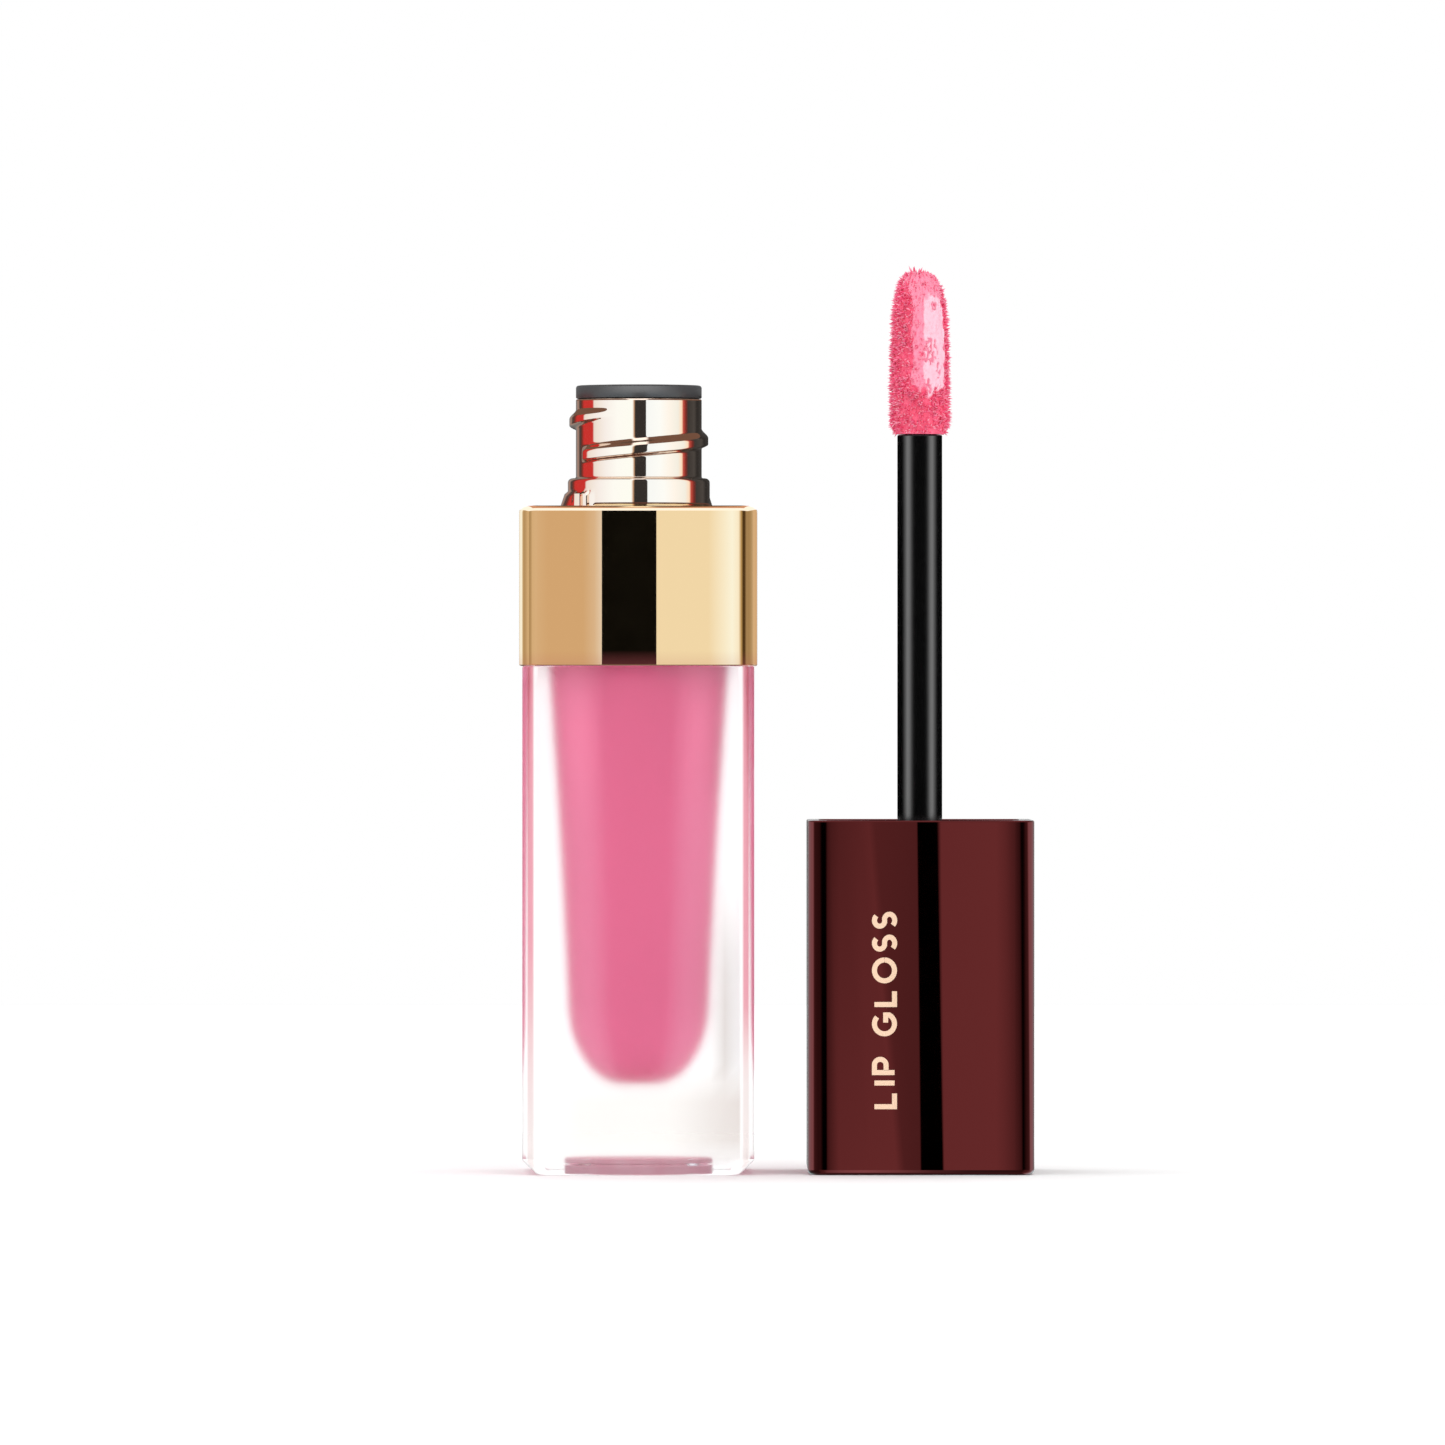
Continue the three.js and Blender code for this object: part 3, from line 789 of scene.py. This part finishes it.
def stem():
    """The wand's rod, with its root, its bead and the hollow end that holds the tip's shank."""
    low, top = span("stem")
    bead, slope = STEM_BEAD, 0.1
    profile = [(1.7, low), (STEM_ROOT, low + 0.5), (STEM_ROOT, BEAD_FROM)]
    profile += [(bead - slope, BEAD_FROM), (bead, BEAD_FROM + slope), (bead, BEAD_TO - slope)]
    profile += [(bead - slope, BEAD_TO), (STEM_RADIUS, BEAD_TO)]
    profile += [(STEM_RADIUS, z) for z in between(BEAD_TO, top - 0.2, 10)] + [(STEM_RADIUS, top - 0.15)]
    profile += quarter_arc(STEM_RADIUS - STEM_EDGE, top - STEM_EDGE, 0, 90, STEM_EDGE, STEM_EDGE, 4)
    profile += [(SHANK_RADIUS, top), (SHANK_RADIUS, top - SHANK_DEPTH)]
    made = turned("wand_stem", profile, CAP_AXIS, 96)
    return finish_piece(made, black_plastic(), "applicator", "black_plastic", "stem")


# ---------------------------------------------------------------- the tip
TIP_FOOT, FIBRES_TOP = span("flocking")
TIP_SHAPE = (  # height over the foot, and radius
    (0.0, 1.94), (0.35, 2.06), (1.0, 2.14), (4.5, 2.12), (7.5, 2.06), (9.0, 1.99), (10.0, 1.90),
    (10.8, 1.78), (11.5, 1.63), (12.0, 1.47), (12.4, 1.27), (12.68, 1.02), (12.84, 0.72), (12.92, 0.38),
    (12.94, 0.0))
TIP_END = TIP_FOOT + TIP_SHAPE[-1][0]
FIBRES, SEED = 4800, 7
FIBRE_LENGTH, FIBRE_WIDTH, FIBRE_ROOT = (0.30, 0.56), 0.062, 0.06
FIBRE_LEAN, FIBRE_SWIRL, FIBRE_BEND = 0.36, 0.5, 0.35
TUFT, TUFT_REACH = Vector((-0.42, -0.45, FIBRES_TOP - 0.3)), 0.5  # a lock of longer fibres at the end
WET_CENTRE, WET_HALF = (25.0, 67.7), (49.0, 5.6)  # degrees right of the front and height; half sizes
THICK_CENTRE, THICK_HALF = (32.5, 66.3), (27.0, 4.25)
THIN_SPOTS = ((24, 65.9, 22, 1.5), (16, 63.0, 9, 0.8), (40, 64.4, 8, 1.0), (33, 69.5, 9, 0.5))
THIN, THICK = (0.93, 0.27, 0.40), (0.98, 0.53, 0.64)  # the film's colours
FILM_DEPTH = 0.34
FILM_SPREAD, FILM_CELLS = 125, 150  # degrees to each side, and cells along each side of its grid


def tip_radius(z):
    """The flocked body's radius under its fibres, a long bullet with a blunt end."""
    up = z - TIP_FOOT
    for (z0, r0), (z1, r1) in zip(TIP_SHAPE, TIP_SHAPE[1:]):
        if up <= z1:
            return r0 + (r1 - r0) * max(0.0, up - z0) / (z1 - z0)
    return 0.0


def tip_point(bearing, z, lift):
    """A point at a bearing in degrees right of the front, lifted off the tip's surface."""
    r = tip_radius(z)
    slope = max(min((tip_radius(z + 0.02) - tip_radius(z - 0.02)) / 0.04, 0.3), -4)
    length = math.hypot(1, slope)
    t = math.radians(bearing - 90)
    r += lift / length
    return Vector((r * math.cos(t), r * math.sin(t), z - lift * slope / length))


def wetness(bearing, z):
    """From 0 on dry flock to 1 well inside the wet film, which spreads over the end of the tip."""
    wide = WET_HALF[0] + 70 * smooth((z - WET_CENTRE[1] - 2.4) / 1.8)
    u = (bearing - WET_CENTRE[0]) / wide
    v = (z - WET_CENTRE[1]) / WET_HALF[1]
    edge = 1 - (abs(u) ** 3 + abs(v) ** 6) ** 0.4
    edge += 0.26 * noise.noise(Vector((bearing / 14, z * 1.2, 4.2)))
    return smooth(edge / 0.3)


def thick_gloss(bearing, z):
    """From 0 to 1 where the gloss lies thick and pale."""
    u = (bearing - THICK_CENTRE[0]) / THICK_HALF[0]
    v = (z - THICK_CENTRE[1]) / THICK_HALF[1]
    best = 1 - (abs(u) ** 5 + abs(v) ** 5) ** 0.35
    for centre, height, wide, tall in THIN_SPOTS:
        hole = 1 - math.hypot((bearing - centre) / wide, (z - height) / tall)
        best -= 1.5 * smooth(hole / 0.5) * (0.42 + 1.3 * noise.noise(Vector((bearing / 5, z * 3.2, 9.1))))
    best += 0.16 * noise.noise(Vector((bearing / 9, z * 2.2, 1.7)))
    return smooth(best / 0.2)


def flock_body():
    """The felted body under the fibres, slightly lumpy, with closer rings towards its end."""
    rows, sides = 70, 96
    rings = []
    for i in range(rows):
        z = TIP_FOOT + (TIP_END - TIP_FOOT) * (1 - (1 - i / rows) ** 1.5)
        r = tip_radius(z)
        ring = []
        for x, y, _ in circle(1, z, sides):
            lump = 0.06 * noise.noise(Vector((x * 2.1, y * 2.1, z)) * 2.6) * min(1, r)
            ring.append(((r + lump) * x, (r + lump) * y, z))
        rings.append(ring)
    verts, faces = skin(rings, poles=(True, True))
    verts[-1] = (0.0, 0.0, TIP_END)
    made = link("flock_body", verts, faces, CAP_AXIS)
    return finish_piece(made, pink_flock(), "applicator", "pink_flock", "flocking")


# Painted shade at the fibres' roots, and painted glints on a share of their ends.
ROOT_SHADE_PINK, END_PINK, WET_PINK = (0.84, 0.05, 0.17), (1.0, 0.38, 0.55), (1.0, 0.54, 0.69)
DEEP_PINK, GLINT_PINK, GLINT_SHARE = (0.90, 0.09, 0.24), (1.0, 0.78, 0.88), 0.28


def fibres():
    """Short fibres on the flocked body, each a bent spike, with painted shade darkening its root, a share
    with painted pale glints at the end, and shorter where it is wet.
    """
    draw = random.Random(SEED)
    noise.seed_set(SEED)
    verts, faces, colours = [], [], []
    for _ in range(FIBRES):
        z = TIP_FOOT + 0.05 + (TIP_END - TIP_FOOT - 0.06) * draw.random() ** 0.92
        bearing = draw.uniform(-180, 180)
        wet = wetness(bearing, z)
        base = tip_point(bearing, z, -FIBRE_ROOT)
        out = (tip_point(bearing, z, 0.1) - base).normalized()
        lean = Vector((draw.gauss(0, 1), draw.gauss(0, 1), draw.gauss(0, 1))) * FIBRE_LEAN
        way = (out + lean + noise.noise_vector(base * 2.2) * FIBRE_SWIRL).normalized()
        if way.dot(out) < 0.3:
            way = (way + out).normalized()
        length = (draw.uniform(*FIBRE_LENGTH) + FIBRE_ROOT) * (1 - 0.45 * wet)
        if z < TIP_FOOT + 0.5:
            way = (way + Vector((0, 0, 0.35))).normalized()
            length *= 0.75
        if (base - TUFT).length < TUFT_REACH:
            way = (way + Vector((-0.2, 0, 1.5))).normalized()
            length *= 1.5
        thick = FIBRE_WIDTH * draw.uniform(0.7, 1.3)
        side = way.orthogonal().normalized() * thick
        other = way.cross(side)
        bend = out.cross(way) * length * FIBRE_BEND
        end = blend(blend(END_PINK, WET_PINK, wet), DEEP_PINK, draw.random() ** 1.5 * 0.9)
        # Painted glint: a share of the fibres paled at the end.
        if draw.random() < GLINT_SHARE:
            end = blend(end, GLINT_PINK, 0.7)
        start = len(verts)
        for along, scale in ((0, 1.0), (0.6, 0.85)):
            centre = base + way * length * along + bend * along * along
            for k in range(3):
                a = TAU * k / 3
                verts.append(tuple(centre + (side * math.cos(a) + other * math.sin(a)) * scale))
                # Painted shade: darker towards the root.
                colours.append(blend(ROOT_SHADE_PINK, end, along ** 1.5))
        verts.append(tuple(base + way * length + bend))
        colours.append(end)
        for k in range(3):
            n = (k + 1) % 3
            faces.append((start + k, start + n, start + 3 + n, start + 3 + k))
            faces.append((start + 3 + k, start + 3 + n, start + 6))
        faces.append((start + 2, start + 1, start))
    made = link("flock_fibres", verts, faces, CAP_AXIS, 60)
    colour_points(made, colours)
    return finish_piece(made, flock_fibre(), "applicator", "pink_flock")


def gloss_film():
    """The wet gloss on the front right of the tip: a closed film over a grid, paler where it is thick."""
    cells = FILM_CELLS
    low, high = WET_CENTRE[1] - 1.1 * WET_HALF[1], TIP_END - 0.05
    outer, inner, colours = [], [], []
    for i in range(cells + 1):
        z = low + (high - low) * i / cells
        for j in range(cells + 1):
            bearing = WET_CENTRE[0] + FILM_SPREAD * (2 * j / cells - 1)
            wet, pale = wetness(bearing, z), thick_gloss(bearing, z)
            ripple = noise.noise(Vector((bearing / 6, z * 2.2, 7.7)))
            ripple += 0.5 * noise.noise(Vector((bearing / 2.5, z * 6, 2.2)))
            depth = FILM_DEPTH * wet * (0.50 + 0.42 * pale + 0.42 * ripple)
            outer.append(tuple(tip_point(bearing, z, -0.09 + depth)))
            inner.append(tuple(tip_point(bearing, z, -0.16)))
            colours.append(blend(THIN, THICK, pale))
    wide = cells + 1
    count = len(outer)
    faces = []
    for i in range(cells):
        for j in range(cells):
            a = i * wide + j
            faces.append((a, a + 1, a + 1 + wide, a + wide))
            faces.append((count + a, count + a + wide, count + a + 1 + wide, count + a + 1))
    rim = [j for j in range(wide)] + [i * wide + cells for i in range(1, wide)]
    rim += [cells * wide + j for j in range(cells - 1, -1, -1)] + [i * wide for i in range(cells - 1, 0, -1)]
    for a, b in zip(rim, rim[1:] + rim[:1]):
        faces.append((b, a, count + a, count + b))
    made = link("gloss_film", outer + inner, faces, CAP_AXIS, 60)
    colour_points(made, colours + colours)
    return finish_piece(made, wet_gloss(), "applicator", "wet_gloss", "gloss_coat")


def carried_over():
    """CAD nodes whose shape is right, with a finished material."""
    for name, mat in (("inner_cap", liner_plastic), ("seal_washer", washer_foam), ("tip_core", tip_rubber)):
        paint(frame["nodes"][name], mat())


# ---------------------------------------------------------------- the studio
def floor():
    made = link("floor", [(-600, -500, 0), (600, -500, 0), (600, 700, 0), (-600, 700, 0)], [(0, 1, 2, 3)])
    mat = material("floor_white", Base_Color=(0.96, 0.96, 0.96, 1), Roughness=0.9, Specular_IOR_Level=0.1)
    paint(made, mat)
    made.visible_glossy = False


def glow_material(name):
    """Light from the front of a reflector, in the colours of its mesh; its back lets everything through."""
    mat = bpy.data.materials.new(name)
    mat.use_nodes = True
    tree = mat.node_tree
    tree.nodes.clear()
    glow = node(tree, "Emission", {"Color": mesh_colour(tree, "glow")})["Emission"]
    clear = node(tree, "BsdfTransparent")["BSDF"]
    back = node(tree, "NewGeometry")["Backfacing"]
    mix = node(tree, "MixShader", {"Fac": back, 1: glow, 2: clear})["Shader"]
    node(tree, "OutputMaterial", {"Surface": mix})
    return mat


RAYS = ("camera", "diffuse", "glossy", "transmission", "shadow", "volume_scatter")


def reflector(name, axis_x, low, high, shades, seen_by="glossy"):
    """A reflector that one kind of ray sees: a wall between two rows of points, with a shade at each."""
    count = len(low)
    faces = [(i + 1, i, count + i, count + i + 1) for i in range(count - 1)]
    made = link(name, list(low) + list(high), faces, axis_x)
    colour_points(made, [grey(shade) for row in shades for shade in row], "glow")
    paint(made, glow_material(name))
    for kind in RAYS:
        setattr(made, "visible_" + kind, kind == seen_by)


REACH, CORNER_REACH = 11.2, 15.9  # from an axis to the walls round a square piece, and to their corners
NECK_REACH, STEM_REACH = 8.6, 7.5  # from an axis to the walls round the neck and the stem
ARC_STEP = 15  # degrees between the points of a plain arc


def box_tent(name, axis_x, rows, side_rows):
    """Four walls round a square piece. Each has two rows, with a height and a pattern of (place, shade)."""
    for side in range(4):
        c, s = math.cos(side * math.pi / 2), math.sin(side * math.pi / 2)
        chosen = side_rows if side % 2 else rows
        points = [[(u * c + REACH * s, u * s - REACH * c, z) for u, _ in pattern] for z, pattern in chosen]
        shades = [[shade for _, shade in pattern] for _, pattern in chosen]
        reflector(name + "_" + str(side), axis_x, *points, shades)


def around(pattern, rows):
    """Points and shades of (radius, height) rows. A pattern's bearings are in degrees right of the front."""
    ways = [(math.sin(math.radians(a)), -math.cos(math.radians(a))) for a, _ in pattern]
    points = [[(r * x, r * y, z) for x, y in ways] for r, z in rows]
    return *points, [[shade for _, shade in pattern]] * 2


def round_tent(name, axis_x, radius, low, high, pattern):
    """A round wall."""
    reflector(name, axis_x, *around(pattern, ((radius, low), (radius, high))))


def ring_card(name, axis_x, radii, z, pattern):
    """A level ring seen from below if the first radius is the larger, or from above if it is the smaller."""
    reflector(name, axis_x, *around(pattern, [(radius, z) for radius in radii]))


def plain_arc(shade, start=-180, end=180):
    """One shade from bearing to bearing."""
    return tuple((a, shade) for a in range(start, end + 1, ARC_STEP))


def plain_rows(shade, low, high):
    """One shade all along a wall between two heights."""
    pattern = ((-REACH, shade), (REACH, shade))
    return (low, pattern), (high, pattern)


def fill_arcs(pattern):
    """Adds points to a pattern so that no gap is wider than a plain arc's."""
    filled = [pattern[0]]
    for a, v in pattern[1:]:
        start, level = filled[-1]
        gaps = math.ceil((a - start) / ARC_STEP)
        filled += [(start + (a - start) * i / gaps, level + (v - level) * i / gaps) for i in range(1, gaps)]
        filled.append((a, v))
    return filled


def blushing(pattern, part):
    """A pattern with some pink let into it."""
    return tuple((u, blend(grey(shade), (0.55, 0.16, 0.3), part)) for u, shade in pattern)


EDGE_NEAR, EDGE_FAR = (1.25, 1.25, 1.35), (1.45, 2.3, 2.4)
CAP_LOW = (
    (-REACH, 0.17), (-9.9, 0.18), (-9.4, 0.13), (-8.95, 0.05), (-8.6, 0.0), (-7.78, 0.0), (-7.2, 0.5),
    (-6.5, 0.90), (-4.0, 0.95), (-1.9, 0.97), (-1.2, 0.58), (-0.05, 0.52), (0.05, 0.0), (1.75, 0.0),
    (1.9, 0.97), (6.0, 1.0), (6.7, 0.85), (7.3, 0.66), (7.75, 0.52), (8.76, 0.37), (9.6, 0.27),
    (10.1, 0.11), (10.6, 0.01), (REACH, 0.01))
CAP_HIGH = (
    (-REACH, 0.16), (-10.4, 0.16), (-9.8, 0.08), (-9.4, 0.02), (-8.95, 0.0), (-8.0, 0.0), (-7.2, 0.45),
    (-6.5, 0.60), (-5.0, 0.72), (-4.2, 0.82), (-3.7, 0.62), (-0.35, 0.55), (-0.25, 0.0), (1.3, 0.0),
    (1.6, 0.95), (6.0, 1.0), (6.7, 0.82), (7.3, 0.55), (7.75, 0.38), (8.2, 0.28), (8.76, 0.2),
    (9.14, 0.07), (9.6, 0.01), (REACH, 0.06))
CAP_SIDE_MIDDLE = (
    (-6.6, EDGE_NEAR), (-5.4, 0.6), (-0.2, 0.7), (-0.1, 0.0), (1.5, 0.0), (1.6, 1.0), (5.2, 0.6),
    (6.6, EDGE_NEAR), (8.6, EDGE_FAR))
CAP_SIDE_LOW = (
    (-REACH, 0.02), (-10.7, 0.06), (-9.8, 0.17), (-8.8, 0.26), (-8.3, 0.4), (-7.8, EDGE_FAR),
    *CAP_SIDE_MIDDLE, (9.0, 0.5), (9.5, 0.28), (REACH, 0.17))
CAP_SIDE_HIGH = (
    (-REACH, 0.08), (-10.9, 0.14), (-10.3, 0.26), (-9.7, 0.3), (-9.3, 0.7), (-8.8, EDGE_FAR),
    *CAP_SIDE_MIDDLE, (9.0, 0.45), (9.5, 0.22), (REACH, 0.17))
CAP_SILL = (
    (-REACH, 0.25), (-8.5, 0.5), (-6.2, (1.4, 2.0, 2.1)), (-4.5, (1.6, 2.3, 2.4)), (-2.0, (1.2, 1.7, 1.7)),
    (1.0, (0.5, 0.7, 0.7)), (4.0, (0.22, 0.35, 0.35)), (REACH, 0.15))
CAP_EAVES = plain_arc((1.1, 1.4, 1.5))
STEM_GLOW = (
    (21, 0), (30, 0.15), (39, 1.14), (49, 3.4), (60, 4.0), (71, 1.7), (84, 0.27), (92, 0), (140, 0),
    (180, 0))
STEM = fill_arcs([(-a, v) for a, v in STEM_GLOW[::-1]] + list(STEM_GLOW))

BLACK = 0.004
TAN, UMBER, EDGE_TAN = (0.733, 0.552, 0.425), (0.085, 0.05, 0.02), (0.52, 0.40, 0.28)
COLLAR_MIDDLE = (
    (-8.4, (0.77, 0.62, 0.52)), (-7.2, TAN), (-4.4, TAN), (-3.5, (0.79, 0.66, 0.62)),
    (-2.92, (0.87, 0.85, 1.0)), (-2.90, BLACK), (1.44, BLACK), (1.46, 1.0), (5.6, 1.0),
    (6.8, (1.07, 1.2, 1.45)), (7.5, (1.1, 1.32, 1.75)), (8.0, (1.08, 1.2, 1.45)))
COLLAR = (
    (-REACH, EDGE_TAN), (-10.0, EDGE_TAN), (-9.4, (0.75, 0.6, 0.48)), *COLLAR_MIDDLE,
    (8.55, (0.6, 0.45, 0.25)), (9.0, UMBER), (9.6, UMBER), (10.3, (0.4, 0.3, 0.2)),
    (REACH, (0.45, 0.34, 0.22)))
COLLAR_SIDE = (
    (-REACH, (0.4, 0.3, 0.2)), (-10.0, (0.45, 0.34, 0.22)), (-9.4, (0.5, 0.4, 0.3)), *COLLAR_MIDDLE,
    (8.55, (0.6, 0.47, 0.33)), (9.2, EDGE_TAN), (REACH, (0.8, 0.65, 0.52)))
COLLAR_EAVES = plain_arc((0.72, 0.42, 0.36))

RED, BROWN = (0.62, 0.043, 0.041), 0.05
NECK = (
    (-180, 0.2), (-141, 0.04), (-127, 0.25), (-113, (0.40, 0.27, 0.23)), (-105, 0.06),
    (-96.5, (0.16, 0.04, 0.03)), (-89.8, RED), (-68.2, RED), (-65.4, (0.88, 0.92, 0.94)),
    (-60.6, (0.93, 0.98, 1.0)), (-45, (1.0, 1.12, 1.23)), (-28, (1.06, 1.26, 1.37)),
    (-7.8, (1.06, 1.28, 1.36)), (-5.8, (0.6, 0.4, 0.25)), (-4.3, 0.035), (9.4, 0.035),
    (9.9, (1.0, 1.23, 1.4)), (28, (1.06, 1.28, 1.42)), (41, (1.07, 1.2, 1.25)), (56, (0.97, 1.12, 1.15)),
    (62.6, (1.07, 0.95, 0.78)), (65.4, (0.6, 0.1, 0.08)), (71, (0.2, 0.03, 0.027)), (75.7, BROWN),
    (91.7, 0.075), (102, 0.03), (131, 0.06), (180, 0.2))
FLANGE = (
    (-180, 0.3), (-150, 0.3), (-120, 0.3), (-90, 0.4), (-60, 0.8), (-35, 2.2), (-15, 3.6), (15, 3.6),
    (35, 1.9), (60, 0.5), (90, 0.3), (120, 0.3), (150, 0.3), (180, 0.3))
ROOF_BROWN, FLOOR_BROWN = (0.18, 0.10, 0.07), (0.12, 0.06, 0.045)
NECK_ROOF = (
    *plain_arc(ROOF_BROWN, -180, -30), (-14, ROOF_BROWN), (-10, 1.3), (7, 1.3), (12, ROOF_BROWN),
    *plain_arc(ROOF_BROWN, 30, 180))
NECK_FLOOR = plain_arc(FLOOR_BROWN)


def cap_tents():
    """Round the cap, under and over it, and round the stem."""
    foot, top = span("overcap")
    low, high, eaves = foot - 0.4, top + 0.05, top + 4
    sides = (low, CAP_SIDE_LOW), (high, CAP_SIDE_HIGH)
    box_tent("cap_tent", CAP_AXIS, ((low, CAP_LOW), (high, CAP_HIGH)), sides)
    brow, sill = plain_rows(0.7, high, eaves), ((foot - 7, CAP_SILL), (low, CAP_SILL))
    box_tent("cap_brow", CAP_AXIS, brow, brow)
    box_tent("cap_sill", CAP_AXIS, sill, sill)
    ring_card("cap_eaves", CAP_AXIS, (CORNER_REACH, STEM_REACH), eaves, CAP_EAVES)
    round_tent("stem_tent", CAP_AXIS, STEM_REACH, top + 0.1, span("stem")[1] + 1.5, STEM)


def collar_tents():
    """Round the collar, pink near the gloss, and over it."""
    low, high = span("gold_collar")
    edge, brow_foot, eaves = low + 1.2, high + 0.6, high + 8
    for name, z0, z1, part in (("low", low - 1, edge, 0.35), ("high", edge, brow_foot, 0.0)):
        walls = [((z0, blushing(p, part)), (z1, blushing(p, 0.0))) for p in (COLLAR, COLLAR_SIDE)]
        box_tent("collar_tent_" + name, BOTTLE_AXIS, *walls)
    brow = plain_rows((1.25, 1.4, 1.9), brow_foot, eaves)
    box_tent("collar_brow", BOTTLE_AXIS, brow, brow)
    ring_card("collar_eaves", BOTTLE_AXIS, (CORNER_REACH, NECK_REACH), eaves, COLLAR_EAVES)


def neck_tents():
    """Round the neck and the wiper's flange, with a ring over and under the thread."""
    foot, roof, top = span("gold_collar")[1], span("threaded_neck")[1] + 0.3, span("wiper")[1]
    round_tent("neck_tent", BOTTLE_AXIS, NECK_REACH, foot, roof, NECK)
    ring_card("neck_roof", BOTTLE_AXIS, (NECK_REACH, 5.3), roof, NECK_ROOF)
    ring_card("neck_floor", BOTTLE_AXIS, (5.9, NECK_REACH), foot + 0.1, NECK_FLOOR)
    round_tent("flange_tent", BOTTLE_AXIS, NECK_REACH, roof, top + 5, FLANGE)


def bounce_card():
    """A white card between the two halves, which only the bottle's glass sees."""
    low, high = span("overcap")
    x = CAP_AXIS / MM - width("overcap") / 2 - 2
    rows = [[(x, y, z) for y in (-14, 14)] for z in (low, high)]
    reflector("bounce_card", 0.0, *rows, ((1.05, 1.05), (1.05, 1.05)), seen_by="transmission")


GLASS_WHITE = 1.19  # how bright the white surroundings look through glass
KEY_SIDE = Vector((-0.55, -0.8, 0.2)).normalized()
GLOSS_SKY = ((0.0, 0.2), (0.35, 0.35), (0.5, 0.6), (0.7, 0.95), (1.0, 1.0))
GLOSS_RISE = ((0.0, 0.6), (0.3, 0.9), (0.5, 1.0), (0.80, 1.0), (0.92, (0.9, 0.8, 0.7)),
              (0.95, (0.16, 0.11, 0.08)), (1.0, (0.12, 0.08, 0.06)))


def world():
    """White to the camera and through glass. Gloss sees a soft key from the front left under a dark sky."""
    made = bpy.data.worlds.new("studio")
    bpy.context.scene.world = made
    made.use_nodes = True
    tree = made.node_tree
    path = node(tree, "LightPath")
    plain = tree.nodes["Background"]
    plain.inputs["Color"].default_value = (1, 1, 1, 1)
    bright = map_range(tree, path["Is Camera Ray"], (0, 1), (GLASS_WHITE, 1.0))
    tree.links.new(bright, plain.inputs["Strength"])
    way = node(tree, "TexCoord")["Generated"]
    towards_key = node(tree, "VectorMath", {0: way, 1: KEY_SIDE}, operation="DOT_PRODUCT")["Value"]
    rise = node(tree, "SeparateXYZ", {"Vector": way})["Z"]
    across = ramp(tree, map_range(tree, towards_key, (-1, 1), (0, 1)), GLOSS_SKY, "EASE")
    upward = ramp(tree, map_range(tree, rise, (-1, 1), (0, 1)), GLOSS_RISE, "EASE")
    both = node(tree, "VectorMath", {0: across, 1: upward}, operation="MULTIPLY")["Vector"]
    gloss_sky = node(tree, "Background", {"Color": both, "Strength": 1.1})["Background"]
    rays = {0: path["Is Glossy Ray"], 1: path["Is Transmission Ray"]}
    mirrored = node(tree, "Math", rays, operation="SUBTRACT", use_clamp=True)["Value"]
    mix = node(tree, "MixShader", {"Fac": mirrored, 1: plain.outputs["Background"], 2: gloss_sky})["Shader"]
    tree.links.new(mix, tree.nodes["World Output"].inputs["Surface"])


def lights():
    """One soft light from the front right."""
    data = bpy.data.lights.new("key", "AREA")
    data.shape = "RECTANGLE"
    data.size, data.size_y = 0.25, 0.5
    data.energy = 0.5
    key = bpy.data.objects.new("key", data)
    key.location = (0.2, -0.6, 0.4)
    aim = Vector((0, 0, 0.04)) - key.location
    key.rotation_euler = aim.to_track_quat("-Z", "Y").to_euler()
    key.visible_glossy = False
    bpy.context.scene.collection.objects.link(key)


make_camera()
for build in (bottle, gloss, base_plug, collar, neck, wiper, cap, foil_words, stem, flock_body, fibres,
              gloss_film, carried_over, floor, cap_tents, collar_tents, neck_tents, bounce_card, world,
              lights):
    build()

scene = bpy.context.scene
scene.view_settings.view_transform = "Standard"
scene.view_settings.look = "None"
